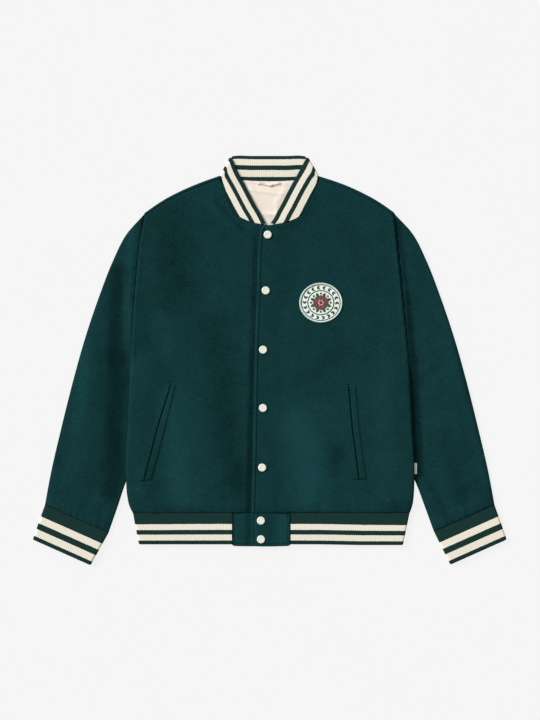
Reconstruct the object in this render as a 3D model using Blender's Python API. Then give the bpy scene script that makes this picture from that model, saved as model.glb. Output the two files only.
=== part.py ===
"""Bomber jacket in melton wool with striped rib trims, laid flat on its back with its snaps fastened.

Sizes and places are in millimetres and become metres as each mesh is made. X runs to the right of
someone who looks down on the jacket, which is the wearer's left, Y runs to the collar and Z up.
Outlines are given for the negative X side, the wearer's right, and mirrored for the other side.
"""
import bisect
import math

import bmesh
import bpy
from mathutils import Vector
from mathutils.bvhtree import BVHTree

MM = 0.001

# Cloth, knit and seams
WALL = 3.0                    # melton wool with its lining
RIB_WALL = 4.2                # doubled rib knit
RIB_PITCH = 4.2               # from one rib to the next
RIB_HEIGHT = 0.45
SEAM = 0.3                    # clear space between neighbouring pieces
FOLD = WALL + SEAM            # outer radius of a fold that is pressed flat
PRESSED = 2 * FOLD            # two layers, pressed flat
RIB_FOLD = RIB_WALL + SEAM    # the same for the rib knit
EDGE_ROUND = 0.8
RIB_EDGE_ROUND = 1.3
FOLD_STEPS = 4                # straight runs round a fold

# Air between the layers, which lifts the upper one away from the jacket's edges
AIR = 2.2
AIR_LEAST = 0.4
AIR_MOST = 3.7
AIR_REACH = 45.0              # from an edge to where the layers lie fully apart

# The hem, the hem band and its tabs
HEM_SEAM_Y = -291.2
HEM_EDGE_Y = -350.5
HEM_HALF_SEAM = 260.3
HEM_HALF_EDGE = 250.0
HEM_BACK_STEPS = 12
TAPER = HEM_HALF_EDGE / HEM_HALF_SEAM
TAB_EDGE_Y = -353.7
TAB_WALL = 4.0
TAB_UNDER_X = (-71.7, -7.0)
TAB_TOP_X = (-35.1, 39.4)
TAB_COLUMNS = 8
TAB_RISE = (3.0, 26.0)        # the upper tab comes down between these distances past the lower one

# The body's side edge, from the hem to the underarm
BODY_SIDE = [(-260.3, -291.2), (-266.5, -277.0), (-270.8, -255.0), (-272.7, -226.0),
             (-269.3, -128.0), (-266.5, -55.0), (-264.3, 0.0)]
# The armhole seam: height, then its distance from the middle on the wearer's right and left
ARMHOLE = [(0.0, 264.3, 264.3), (75.0, 259.6, 256.5), (150.0, 254.2, 249.0), (225.0, 246.6, 241.0)]
SHOULDER_POINT = {-1: (-238.5, 279.5), 1: (236.5, 280.9)}
SHOULDER = [(-140.1, 334.4), (-174.3, 319.2), (-202.8, 304.0)]
SHOULDER_FORWARD = 3.7        # the flat run of the back's shoulder past its fold

# The sleeve's two edges, from the armhole to the cuff seam. The inner one runs under the body.
SLEEVE_OUTER = [(-275.0, 235.6), (-297.8, 190.0), (-324.4, 121.6), (-354.8, 30.4), (-373.8, -38.0),
                (-396.6, -129.0), (-417.5, -220.0), (-427.8, -276.0)]
SLEEVE_INNER = [(-264.8, 0.0), (-267.2, -30.0), (-266.8, -50.0), (-256.0, -72.0), (-243.0, -98.0),
                (-240.5, -126.0), (-248.0, -172.0), (-263.0, -208.0), (-274.2, -232.0),
                (-290.0, -277.0), (-308.3, -328.7)]
SLEEVE_OUTER_PACE = 0.8       # sections fan out from the armhole: fast along the outer edge
SLEEVE_INNER_PACE = 1.5       # and slowly along the inner one
CUFF_SEAM = [(-427.8, -276.0), (-308.3, -328.7)]
CUFF_EDGE = [(-449.8, -338.0), (-340.6, -387.0)]
CUFF_FLOOR_STEPS = 8

# The body rides over the tucked part of each sleeve
LIFT = PRESSED + 0.5
LIFT_FULL = 34.0              # measured inwards from the body's side
LIFT_NONE = 66.0
LIFT_ROWS = [(-291.2, 0.0), (-262.0, 1.0), (-25.0, 1.0), (0.0, 0.0)]   # height, share of the lift

# The placket: the wearer's left front lies on the right one, which runs on under it
FRONT_EDGE = [(-35.1, -291.2), (-32.6, -203.3), (-30.9, -114.0), (-28.6, 19.0), (-24.2, 133.0),
              (-19.5, 249.0)]
UNDERLAP = 28.0
RISE = WALL + 0.5
RISE_FULL = 31.0              # measured from the upper front's edge
RISE_NONE = 56.0

# Each front's columns of points, from its front edge, and the one that meets the neck's side.
# They are close together below the bend of the neckline and where the panel rises or falls.
UPPER_COLUMNS = [0, 15.5, 31, 43.5, 56, 67, 77, 87, 98, 112, 128, 143, 172, 201, 231, 248, 264, 280, 297]
UPPER_CORNER = 11
UNDER_COLUMNS = [0, 24, 42, 54, 64, 74, 86, 104, 122, 140, 168, 196, 213, 229, 245, 262]
UNDER_CORNER = 9
ROWS_BELOW = 10               # rows of points, hem to underarm
ROWS_ABOVE = 9                # and underarm to shoulder
BACK_COLUMNS = [0, 17, 33, 49, 66, 102, 139, 175, 184, 211, 238, 265]   # from the side to the middle
BACK_CORNER = 8
SLEEVE_SECTIONS = 12
SLEEVE_TOP_STEPS = 12
SLEEVE_FLOOR_STEPS = 6

# The neck, about its own middle
NECK_X = -2.0
NECK_POINT = (94.4, 350.4)    # where the shoulder's outline meets the collar
NECK_GAP = 0.8                # clear space along the neck seams
NECK_DEPTH = 12.0             # the flat strip of the back along the neck
NECKLINE_END = 8.0            # the front's neckline turns to the shoulder seam over this height
# The collar from its front end to its side fold: seam x, seam y, free edge x, free edge y
COLLAR_FRONT = [(-12.6, 257.6, -8.6, 260.0), (-29.5, 261.5, -14.2, 269.3), (-51.6, 270.4, -22.3, 285.3),
                (-61.0, 276.3, -26.6, 293.3), (-68.4, 289.5, -33.8, 307.5), (-81.0, 319.4, -48.6, 336.0),
                (-88.6, 341.8, -59.5, 357.1), (-89.3, 349.4, -69.4, 382.2)]
COLLAR_BACK = [(-89.3, 349.4, -69.4, 382.2), (-68.0, 345.2, -58.0, 385.6), (-34.0, 341.4, -33.0, 385.9),
               (0.0, 340.4, 0.0, 385.9)]
COLLAR_FOLD_OUT = Vector((-0.855, 0.519, 0.0))
COLLAR_LOW = RIB_WALL / 2
COLLAR_HIGH = 5.1 + RIB_WALL / 2
COLLAR_END_RISE = 2.6
COLLAR_END_RUN = 0.3          # share of the upper front's collar that comes down from that rise

LINING = 1.0
LINING_ROWS = [(339.3, 57.0), (300.0, 40.0), (262.0, 17.0), (251.0, 10.0)]   # height, half width
LOOP_X = (-22.0, 19.5)
LOOP_Y = 336.2
LOOP_WIDTH = 5.5
LOOP_SAG = 2.2
LOOP_WALL = 1.2
LOOP_RISE = 0.8
LOOP_STEPS = 12

WELT_WALL = 1.7
WELT_WIDTH = 12.0
WELT_GAP = 0.6
WELT_ROWS = 10
WELT_ROUND = 0.5
# Each pocket's opening, top to bottom, on the wearer's right and left; the welt lies on its outer side
POCKET = {-1: [(-186.9, -44.7), (-214.5, -137.0), (-238.2, -228.8)],
          1: [(150.0, -47.5), (158.5, -137.0), (170.3, -226.9)]}

SNAP_RADIUS = 8.5
SNAP_HEIGHT = 2.5
SNAP_SIDES = 14
# The cap's section: shares of its radius and height, for a shallow dome with a rolled rim
SNAP_PROFILE = [(0.0, 0.86), (0.5, 0.92), (0.72, 1.0), (0.92, 0.72), (1.0, 0.3), (0.97, 0.0), (0.0, 0.0)]
SNAPS = [(-5.2, 239.0), (-9.0, 133.0), (-14.0, 20.7), (-14.2, -89.9), (-15.7, -202.9),
         (-18.1, -303.5), (-18.0, -339.0)]
BODY_SNAPS = 5

PATCH_CENTRE = (97.0, 108.9)
PATCH_HALF = (41.8, 38.6)
PATCH_WALL = 1.3
PATCH_RIM = 0.9               # the stitched rim stands this much higher
PATCH_SIDES = 24
# Rings of the patch: share of its half axes, share of the rim's height
PATCH_RINGS = [(0.33, 0.0), (0.66, 0.0), (0.90, 0.0), (0.94, 1.0), (0.98, 1.0), (1.0, 0.3)]
LABEL_Y = (-216.6, -195.7)
LABEL_LENGTH = 6.5
LABEL_WALL = 0.9
# The folded label from the seam out: share of its length, height above the sleeve
LABEL_PROFILE = [(0.0, 2.6), (0.3, 1.5), (0.65, 0.4), (1.0, 0.2)]

# The largest soft ridges and troughs: start x, y, end x, y, reach to each side, height
CREASES = [(-205, -60, -150, -262, 46, 0.9), (168, -30, 196, -250, 44, 0.9),
           (-150, 190, -96, 20, 42, -0.8), (176, 214, 128, 60, 40, -0.7),
           (-116, -120, -88, -262, 34, 0.7), (92, -110, 108, -262, 36, 0.6),
           (-304, 118, -298, -96, 30, -1.2), (306, 96, 300, -120, 30, -1.2),
           (-342, 70, -372, -140, 32, 1.0), (346, 60, 378, -150, 30, 1.0),
           (-330, -120, -362, -282, 26, 0.8), (322, -140, 356, -288, 26, 0.8),
           (-330, 24, -292, 6, 18, -0.8), (334, -6, 296, -34, 18, -0.8)]


# ---------------------------------------------------------------- lines and fields

def fine_curve(points, steps=8):
    """Return many points on a smooth curve through a few."""
    slopes = []
    for k, point in enumerate(points):
        before = point - points[max(k - 1, 0)]
        after = points[min(k + 1, len(points) - 1)] - point
        if before.length == 0.0:
            slopes.append(after / after.length)
        elif after.length == 0.0:
            slopes.append(before / before.length)
        else:
            ratio = after.length / before.length
            slopes.append((before * ratio + after / ratio) / (before.length + after.length))
    fine = []
    for k in range(len(points) - 1):
        span = (points[k + 1] - points[k]).length
        for step in range(steps):
            t = step / steps
            fine.append(points[k] * (1 + 2 * t) * (1 - t) ** 2 + points[k + 1] * t * t * (3 - 2 * t)
                        + slopes[k] * span * t * (1 - t) ** 2 - slopes[k + 1] * span * t * t * (1 - t))
    return fine + [points[-1]]


class Path:
    """A smooth line through a few points, read by the share of its length."""

    def __init__(self, points):
        self.points = fine_curve([Vector(point) for point in points])
        self.reach = [0.0]
        for start, end in zip(self.points, self.points[1:]):
            self.reach.append(self.reach[-1] + (end - start).length)

    def at(self, share):
        target = min(max(share, 0.0), 1.0) * self.reach[-1]
        k = min(bisect.bisect_right(self.reach, target), len(self.points) - 1)
        run = (target - self.reach[k - 1]) / (self.reach[k] - self.reach[k - 1])
        return self.points[k - 1].lerp(self.points[k], run)

    def sample(self, count):
        return [self.at(k / count) for k in range(count + 1)]

    def distance(self, spot):
        return min(segment_distance(spot, start, end) for start, end in zip(self.points, self.points[1:]))

    def x_at(self, y):
        for start, end in zip(self.points, self.points[1:]):
            if min(start.y, end.y) <= y <= max(start.y, end.y) and start.y != end.y:
                return start.x + (end.x - start.x) * (y - start.y) / (end.y - start.y)
        return self.points[0].x if y < self.points[0].y else self.points[-1].x


def segment_distance(spot, start, end):
    along = end - start
    share = min(max((spot - start).dot(along) / along.length_squared, 0.0), 1.0)
    return (spot - start - along * share).length


def smooth(share):
    share = min(max(share, 0.0), 1.0)
    return share * share * (3 - 2 * share)


def ramp(value, full, none):
    """Return 1 up to full, 0 from none on, and a straight run between them."""
    return min(max((none - value) / (none - full), 0.0), 1.0)


def table_value(rows, key):
    """Read a two-column table by a straight run between its rows."""
    if key <= rows[0][0]:
        return rows[0][1]
    for (low, first), (high, second) in zip(rows, rows[1:]):
        if key <= high:
            return first + (second - first) * (key - low) / (high - low)
    return rows[-1][1]


def mirrored(points, side):
    return [(-side * x, y) for x, y in points]


def shoulder_line(side):
    """The outline from the neck to the shoulder point."""
    start = (NECK_X + side * NECK_POINT[0], NECK_POINT[1])
    return Path([start] + mirrored(SHOULDER, side) + [SHOULDER_POINT[side]])


def armhole_line(side, top):
    """The armhole seam from the underarm to a point on the shoulder."""
    column = 1 if side < 0 else 2
    return Path([(side * row[column], row[0]) for row in ARMHOLE] + [top])


BODY_EDGE = Path(BODY_SIDE)
SHOULDER_EDGE = shoulder_line(-1)
SLEEVE_EDGE = Path([SHOULDER_POINT[-1]] + SLEEVE_OUTER)
SLEEVE_BELOW = Path([point for point in SLEEVE_INNER if point[1] < -230.0])


def crease_height(x, y):
    total = 0.0
    for start_x, start_y, end_x, end_y, reach, height in CREASES:
        away = segment_distance(Vector((x, y)), Vector((start_x, start_y)), Vector((end_x, end_y)))
        if away < reach:
            total += height * 0.5 * (1 + math.cos(math.pi * away / reach))
    return total


def air(x, y, edges):
    """Return the air between the two layers at a place."""
    spot = Vector((-abs(x), y))
    share = smooth(min(edge.distance(spot) for edge in edges) / AIR_REACH)
    least = PRESSED - 2 * WALL
    return min(max(least + share * (AIR + crease_height(x, y)), AIR_LEAST), AIR_MOST)


def body_lift(x, y):
    """Return how far the sleeve that is tucked below lifts the body."""
    inwards = -abs(x) - BODY_EDGE.x_at(y)
    return LIFT * table_value(LIFT_ROWS, y) * ramp(inwards, LIFT_FULL, LIFT_NONE)


def front_top(x, y):
    return 2 * WALL + body_lift(x, y) + air(x, y, (BODY_EDGE, SHOULDER_EDGE, SLEEVE_EDGE))


def placket_rise(x, y, path):
    """Return how far the under front lifts the upper one, path being the upper one's edge."""
    return RISE * ramp(x - path.x_at(y), RISE_FULL, RISE_NONE)


def sleeve_top(x, y):
    spot = Vector((-abs(x), y))
    if y < 0.0 and spot.x > BODY_EDGE.x_at(y):
        return PRESSED
    return 2 * WALL + air(x, y, (BODY_EDGE, SHOULDER_EDGE, SLEEVE_EDGE, SLEEVE_BELOW))


def coons(bottom, top, left, right, across, up):
    """Fill four border lists with a grid of points, at the given shares across and up."""
    rows = []
    for j, v in enumerate(up):
        row = []
        for i, u in enumerate(across):
            edges = bottom[i] * (1 - v) + top[i] * v + left[j] * (1 - u) + right[j] * u
            corners = (bottom[0] * (1 - u) * (1 - v) + bottom[-1] * u * (1 - v)
                       + top[0] * (1 - u) * v + top[-1] * u * v)
            row.append(edges - corners)
        rows.append(row)
    return rows


def two_part(first, second, shares, corner):
    """Sample two paths in turn, so that the column named corner falls where they meet."""
    meet = shares[corner]
    points = [first.at(share / meet) for share in shares[:corner + 1]]
    return points + [second.at((share - meet) / (1 - meet)) for share in shares[corner + 1:]]


def even(count):
    return [k / count for k in range(count + 1)]


# ---------------------------------------------------------------- meshes

def linear(value):
    value /= 255
    return value / 12.92 if value <= 0.04045 else ((value + 0.055) / 1.055) ** 2.4


def make_material(name, code, roughness):
    material = bpy.data.materials.new(name)
    material.use_nodes = True
    shader = material.node_tree.nodes["Principled BSDF"]
    shader.inputs["Base Color"].default_value = [linear(int(code[k:k + 2], 16)) for k in (0, 2, 4)] + [1.0]
    shader.inputs["Roughness"].default_value = roughness
    shader.inputs["Metallic"].default_value = 0.0
    return material


def make_object(name, mesh_source, material, edge_round=0.0):
    """Turn a bmesh in millimetres into an object in metres."""
    bmesh.ops.recalc_face_normals(mesh_source, faces=mesh_source.faces)
    bmesh.ops.scale(mesh_source, vec=(MM, MM, MM), verts=mesh_source.verts)
    mesh = bpy.data.meshes.new(name)
    mesh_source.to_mesh(mesh)
    mesh_source.free()
    mesh.shade_smooth()
    mesh.set_sharp_from_angle(angle=math.radians(45))
    mesh.materials.append(material)
    item = bpy.data.objects.new(name, mesh)
    bpy.context.scene.collection.objects.link(item)
    if edge_round:
        bevel = item.modifiers.new("rounded edges", "BEVEL")
        bevel.width = edge_round * MM
        bevel.segments = 1
        bevel.limit_method = "ANGLE"
        bevel.angle_limit = math.radians(55)
    return item


def add_quads(mesh, rows, wrap):
    columns = len(rows[0])
    for low, high in zip(rows, rows[1:]):
        for i in range(columns if wrap else columns - 1):
            k = (i + 1) % columns
            mesh.faces.new((low[i], low[k], high[k], high[i]))


def shell(outer, inner, wrap=False):
    """Join an outer and an inner grid of points into one closed wall."""
    mesh = bmesh.new()
    out = [[mesh.verts.new(point) for point in row] for row in outer]
    ins = [[mesh.verts.new(point) for point in row] for row in inner]
    add_quads(mesh, out, wrap)
    add_quads(mesh, [row[::-1] for row in ins], wrap)
    add_quads(mesh, [out[0], ins[0]], wrap)
    add_quads(mesh, [out[-1], ins[-1]], wrap)
    if not wrap:
        add_quads(mesh, [[row[0] for row in out], [row[0] for row in ins]], False)
        add_quads(mesh, [[row[-1] for row in out], [row[-1] for row in ins]], False)
    return mesh


def dropped(rows, drop):
    return [[point - Vector((0.0, 0.0, drop)) for point in row] for row in rows]


def height_tree(rows):
    """Return a tree that finds the height of a grid from above."""
    columns = len(rows[0])
    points = [point for row in rows for point in row]
    faces = []
    for j in range(len(rows) - 1):
        for i in range(columns - 1):
            k = j * columns + i
            faces.append((k, k + 1, k + columns + 1, k + columns))
    return BVHTree.FromPolygons(points, faces)


def height_on(tree, x, y):
    return tree.ray_cast(Vector((x, y, 100.0)), Vector((0.0, 0.0, -1.0)))[0].z


# ---------------------------------------------------------------- panels and sleeves

def body_sides(side, rows_below, rows_above, top):
    """The panel's side and armhole, from the hem to top, kept clear of the sleeve."""
    lower = [Vector((-side * point.x, point.y)) for point in BODY_EDGE.sample(rows_below)]
    upper = armhole_line(side, top).sample(rows_above)[1:]
    return lower + [Vector((point.x - side * SEAM, point.y)) for point in upper]


def collar_seam(rows, side, count):
    """Points along the seam edge of a stretch of the collar, moved off it by the seam's clear space."""
    points = []
    for row in Path(rows).sample(count):
        seam, free = Vector(row[:2]), Vector(row[2:])
        point = seam + (seam - free).normalized() * NECK_GAP
        points.append(Vector((NECK_X - side * point.x, point.y)))
    return points


def front_neckline(side, start, end):
    """The front's neckline, from its inner corner along the collar to the shoulder seam."""
    points = collar_seam(COLLAR_FRONT, side, 16)
    return Path([start] + [point for point in points if point.y < end.y - NECKLINE_END] + [end])


def shoulder_seam(side):
    drop = FOLD + SHOULDER_FORWARD + SEAM
    return Path([(point.x, point.y - drop) for point in shoulder_line(side).sample(6)])


def make_front(name, side, edge, distances, corner, rise_path, material):
    """One front, from its front edge to the side, hem to shoulder. Returns its upper points too."""
    width = distances[-1]
    across = [distance / width for distance in distances]
    shoulder = shoulder_seam(side)
    sides = body_sides(side, ROWS_BELOW, ROWS_ABOVE, shoulder.at(1.0))
    up = even(len(sides) - 1)
    front = edge.sample(len(sides) - 1)
    neckline = front_neckline(side, front[-1], shoulder.at(0.0))
    bottom = [front[0].lerp(sides[0], share) for share in across]
    top = two_part(neckline, shoulder, across, corner)
    plan = coons(bottom, top, front, sides, across, up)
    rows = []
    for line in plan:
        row = []
        for point in line:
            height = front_top(point.x, point.y)
            if rise_path:
                height += placket_rise(point.x, point.y, rise_path)
            row.append(Vector((point.x, point.y, height)))
        rows.append(row)
    make_object(name, shell(rows, dropped(rows, WALL)), material, EDGE_ROUND)
    return height_tree(rows)


def make_back(material):
    """The back lies on its outer face, and its shoulders fold up and forward over the top edge."""
    half = [distance / (2 * BACK_COLUMNS[-1]) for distance in BACK_COLUMNS]
    across = half + [1 - share for share in half[-2::-1]]
    last = len(across) - 1
    shoulders = {side: shoulder_line(side) for side in (-1, 1)}
    ends = {side: shoulders[side].at(1.0) - Vector((0.0, FOLD)) for side in (-1, 1)}
    left, right = (body_sides(side, ROWS_BELOW, ROWS_ABOVE, ends[side]) for side in (-1, 1))
    up = even(len(left) - 1)
    meet = across[BACK_CORNER]
    corner = Vector((NECK_X + NECK_POINT[0], NECK_POINT[1]))
    neck_half = Path([corner] + collar_seam(COLLAR_BACK, 1, 8)[1:])
    top = []
    for i, share in enumerate(across):
        side = -1 if i <= last / 2 else 1
        from_side = min(share, 1 - share)
        if not BACK_CORNER <= i <= last - BACK_CORNER:
            top.append(shoulders[side].at(1 - from_side / meet) - Vector((0.0, FOLD)))
        else:
            point = neck_half.at((from_side - meet) / (0.5 - meet))
            top.append(Vector((NECK_X + side * (point.x - NECK_X), point.y - NECK_DEPTH)))
    top[0] = left[-1]
    top[-1] = right[-1]
    bottom = [left[0].lerp(right[0], share) for share in across]
    plan = coons(bottom, top, left, right, across, up)
    outer = [[Vector((p.x, p.y, body_lift(p.x, p.y))) for p in line] for line in plan]
    inner = [[point + Vector((0.0, 0.0, WALL)) for point in row] for row in outer]
    for step in range(1, FOLD_STEPS + 2):
        outer_row, inner_row = [], []
        for i, point in enumerate(plan[-1]):
            for row, radius in ((outer_row, FOLD), (inner_row, FOLD - WALL)):
                if BACK_CORNER <= i <= last - BACK_CORNER:
                    forward = NECK_DEPTH * step / (FOLD_STEPS + 1)
                    row.append(Vector((point.x, point.y + forward, FOLD - radius)))
                    continue
                turn = math.pi * min(step / FOLD_STEPS, 1.0)
                forward = radius * math.sin(turn) - SHOULDER_FORWARD * (step > FOLD_STEPS)
                row.append(Vector((point.x, point.y + forward, FOLD - radius * math.cos(turn))))
        outer.append(outer_row)
        inner.append(inner_row)
    make_object("back_panel", shell(outer, inner), material)


def sleeve_plan(side):
    """Return a function that gives a plan point from a share along the sleeve and one across it."""
    shoulder = SHOULDER_POINT[side]
    outer = Path([shoulder] + mirrored(SLEEVE_OUTER, side))
    inner = Path(mirrored(SLEEVE_INNER, side))
    armhole = Path([tuple(point) for point in armhole_line(side, shoulder).sample(10)][::-1])
    cuff = [Vector((-side * x, y)) for x, y in CUFF_SEAM]

    def place(along, share):
        outside = outer.at(along ** SLEEVE_OUTER_PACE)
        inside = inner.at(along ** SLEEVE_INNER_PACE)
        ends = armhole.at(share) * (1 - along) + cuff[0].lerp(cuff[1], share) * along
        edges = outside.lerp(inside, share)
        corners = (armhole.at(0.0).lerp(armhole.at(1.0), share) * (1 - along)
                   + cuff[0].lerp(cuff[1], share) * along)
        return ends + edges - corners

    return place


def sleeve_ring(place, along, inset):
    """One section of the flat tube: over the top, round the inner fold, back below, round the outer."""
    length = (place(along, 1.0) - place(along, 0.0)).length
    radius = FOLD - inset
    ring = []
    for k in range(SLEEVE_TOP_STEPS + 1):
        point = place(along, (FOLD + (length - 2 * FOLD) * k / SLEEVE_TOP_STEPS) / length)
        ring.append(Vector((point.x, point.y, sleeve_top(point.x, point.y) - inset)))
    for k in range(1, FOLD_STEPS):
        turn = math.pi * k / FOLD_STEPS
        point = place(along, (length - FOLD + radius * math.sin(turn)) / length)
        ring.append(Vector((point.x, point.y, FOLD + radius * math.cos(turn))))
    for k in range(SLEEVE_FLOOR_STEPS, -1, -1):
        point = place(along, (FOLD + (length - 2 * FOLD) * k / SLEEVE_FLOOR_STEPS) / length)
        ring.append(Vector((point.x, point.y, inset)))
    for k in range(1, FOLD_STEPS):
        turn = math.pi * k / FOLD_STEPS
        point = place(along, (FOLD - radius * math.sin(turn)) / length)
        ring.append(Vector((point.x, point.y, FOLD - radius * math.cos(turn))))
    return ring


def make_sleeve(name, side, material):
    place = sleeve_plan(side)
    stations = even(SLEEVE_SECTIONS)
    outer = [sleeve_ring(place, along, 0.0) for along in stations]
    inner = [sleeve_ring(place, along, WALL) for along in stations]
    make_object(name, shell(outer, inner, wrap=True), material, EDGE_ROUND)


# ---------------------------------------------------------------- rib knit bands

def band_ring(seam, free, normal, raised):
    """The section of a doubled rib band: outer face, rounded free edge, inner face."""
    half = normal * (RIB_WALL / 2)
    outer_half = half + normal * (raised if normal.z >= 0.0 else 0.0)
    inner_half = half + normal * (raised if normal.z < 0.0 else 0.0)
    away = (free - seam).normalized()
    inset = away * RIB_EDGE_ROUND
    return [seam + outer_half, free - inset + outer_half, free, free - inset - inner_half, seam - inner_half]


def make_band(name, stations, closed, material):
    """Loft a band through its stations of seam point, free edge point, normal and rib height."""
    mesh = bmesh.new()
    rings = [[mesh.verts.new(point) for point in band_ring(*station)] for station in stations]
    for k in range(len(rings) if closed else len(rings) - 1):
        here, there = rings[k], rings[(k + 1) % len(rings)]
        for i in range(len(here)):
            j = (i + 1) % len(here)
            mesh.faces.new((here[i], here[j], there[j], there[i]))
    if not closed:
        mesh.faces.new(rings[0])
        mesh.faces.new(rings[-1][::-1])
    make_object(name, mesh, material)


def rib_steps(length):
    """Return an even number of half ribs that fills a length."""
    return 2 * max(round(length / RIB_PITCH), 1)


def rib_at(index):
    return RIB_HEIGHT if index % 2 else 0.0


def turned(outward, turn):
    """The direction at an angle round a fold, from straight up, through outward, to straight down."""
    return outward * math.sin(turn) + Vector((0.0, 0.0, math.cos(turn)))


def make_cuff(name, side, material):
    seam = [Vector((-side * x, y, 0.0)) for x, y in CUFF_SEAM]
    edge = [Vector((-side * x, y, 0.0)) for x, y in CUFF_EDGE]
    off_seam = ((edge[0] + edge[1]) - (seam[0] + seam[1])).normalized() * SEAM
    seam = [point + off_seam for point in seam]
    seam_way = (seam[1] - seam[0]).normalized()
    edge_way = (edge[1] - edge[0]).normalized()
    middle = RIB_FOLD - RIB_WALL / 2
    steps = rib_steps((seam[1] - seam[0]).length - 2 * RIB_FOLD)

    def ends(share):
        at_seam = (seam[0] + seam_way * RIB_FOLD).lerp(seam[1] - seam_way * RIB_FOLD, share)
        at_edge = (edge[0] + edge_way * RIB_FOLD).lerp(edge[1] - edge_way * RIB_FOLD, share)
        return at_seam, at_edge

    def station(share, direction, raised):
        centre = Vector((0.0, 0.0, RIB_FOLD)) + direction * middle
        at_seam, at_edge = ends(share)
        return at_seam + centre, at_edge + centre, direction, raised

    arc = [math.pi * k / FOLD_STEPS for k in range(1, FOLD_STEPS)]
    stations = [station(k / steps, Vector((0, 0, 1)), rib_at(k)) for k in range(steps + 1)]
    stations += [station(1.0, turned(seam_way, turn), 0.0) for turn in arc]
    stations += [station(1 - share, Vector((0, 0, -1)), 0.0) for share in even(CUFF_FLOOR_STEPS)]
    stations += [station(0.0, -turned(seam_way, turn), 0.0) for turn in arc]
    make_band(name, stations, True, material)


def make_hem_rib(material):
    """One strip: right front, round the side, across the back, round the other side, left front."""
    seam_y = HEM_SEAM_Y - SEAM
    centre_z = RIB_FOLD
    middle = RIB_FOLD - RIB_WALL / 2
    fold_x = HEM_HALF_SEAM - RIB_FOLD
    edge_scale = (HEM_HALF_EDGE - RIB_FOLD) / fold_x

    def station(x, direction, raised):
        offset = direction * middle
        seam = Vector((x, seam_y, centre_z)) + offset
        free = Vector((x * edge_scale, HEM_EDGE_Y, centre_z)) + offset
        return seam, free, direction, raised

    up, down, out = Vector((0, 0, 1)), Vector((0, 0, -1)), Vector((1, 0, 0))
    front_right_end = TAB_UNDER_X[0] - SEAM
    front_left_end = TAB_TOP_X[1] + SEAM
    arc = [math.pi * k / FOLD_STEPS for k in range(1, FOLD_STEPS)]
    count = rib_steps(fold_x + front_right_end)
    stations = [station(front_right_end + (-fold_x - front_right_end) * k / count, up, rib_at(k))
                for k in range(count + 1)]
    stations += [station(-fold_x, turned(-out, turn), 0.0) for turn in arc]
    stations += [station(fold_x * (2 * share - 1), down, 0.0) for share in even(HEM_BACK_STEPS)]
    stations += [station(fold_x, turned(out, turn), 0.0) for turn in arc[::-1]]
    count = rib_steps(fold_x - front_left_end)
    stations += [station(fold_x + (front_left_end - fold_x) * k / count, up, rib_at(k))
                 for k in range(count + 1)]
    make_band("hem_rib", stations, False, material)


def make_collar(material):
    """One strip: up the right front, round the neck's side, across the back, and down the left front."""
    up, down = Vector((0, 0, 1)), Vector((0, 0, -1))

    def station(row, side, height, direction, raised):
        seam = Vector((NECK_X - side * row[0], row[1], height))
        free = Vector((NECK_X - side * row[2], row[3], height))
        return seam, free, direction, raised

    def front(side, end_rise):
        path = Path(COLLAR_FRONT)
        count = rib_steps(path.reach[-1] / math.sqrt(2))
        for k in range(count + 1):
            share = k / count
            height = COLLAR_HIGH + end_rise * ramp(share, 0.0, COLLAR_END_RUN)
            yield station(path.at(share), side, height, up, rib_at(k))

    def fold(side):
        out = Vector((-side * COLLAR_FOLD_OUT.x, COLLAR_FOLD_OUT.y, 0.0))
        radius = (COLLAR_HIGH - COLLAR_LOW) / 2
        for k in range(1, FOLD_STEPS):
            direction = turned(out, math.pi * k / FOLD_STEPS)
            seam, free, _, _ = station(COLLAR_FRONT[-1], side, COLLAR_LOW + radius, up, 0.0)
            yield seam + direction * radius, free + direction * radius, direction, 0.0

    def back(side):
        path = Path(COLLAR_BACK)
        count = rib_steps(path.reach[-1] / math.sqrt(2))
        for k in range(count + 1):
            yield station(path.at(k / count), side, COLLAR_LOW, down, rib_at(k))

    stations = list(front(-1, 0.0)) + list(fold(-1)) + list(back(-1))
    stations += list(back(1))[-2::-1] + list(fold(1))[::-1] + list(front(1, COLLAR_END_RISE))[::-1]
    make_band("collar_rib", stations, False, material)


# ---------------------------------------------------------------- small pieces

def make_tab(name, span, rise_edge, material):
    """A hem tab. It lies on the band's back layer, and the upper one rises over the lower."""
    floor = RIB_WALL + SEAM
    outer = []
    for y, narrowed in ((TAB_EDGE_Y, TAPER), (HEM_SEAM_Y - SEAM, 1.0)):
        row = []
        for share in even(TAB_COLUMNS):
            x = (span[0] + (span[1] - span[0]) * share) * narrowed
            rise = 0.0
            if rise_edge:
                rise = (TAB_WALL + SEAM) * ramp(x - rise_edge, *TAB_RISE)
            row.append(Vector((x, y, floor + TAB_WALL + rise)))
        outer.append(row)
    make_object(name, shell(outer, dropped(outer, TAB_WALL)), material, EDGE_ROUND)
    return height_tree(outer)


def make_welt(name, side, tree, material):
    opening = Path(POCKET[side])
    rows = []
    for k in range(WELT_ROWS + 1):
        point = opening.at(k / WELT_ROWS)
        row = []
        for across in (0.0, 0.5, 1.0):
            x = point.x + side * WELT_WIDTH * across
            row.append(Vector((x, point.y, height_on(tree, x, point.y) + WELT_GAP + WELT_WALL)))
        rows.append(row)
    make_object(name, shell(rows, dropped(rows, WELT_WALL)), material, WELT_ROUND)


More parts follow.
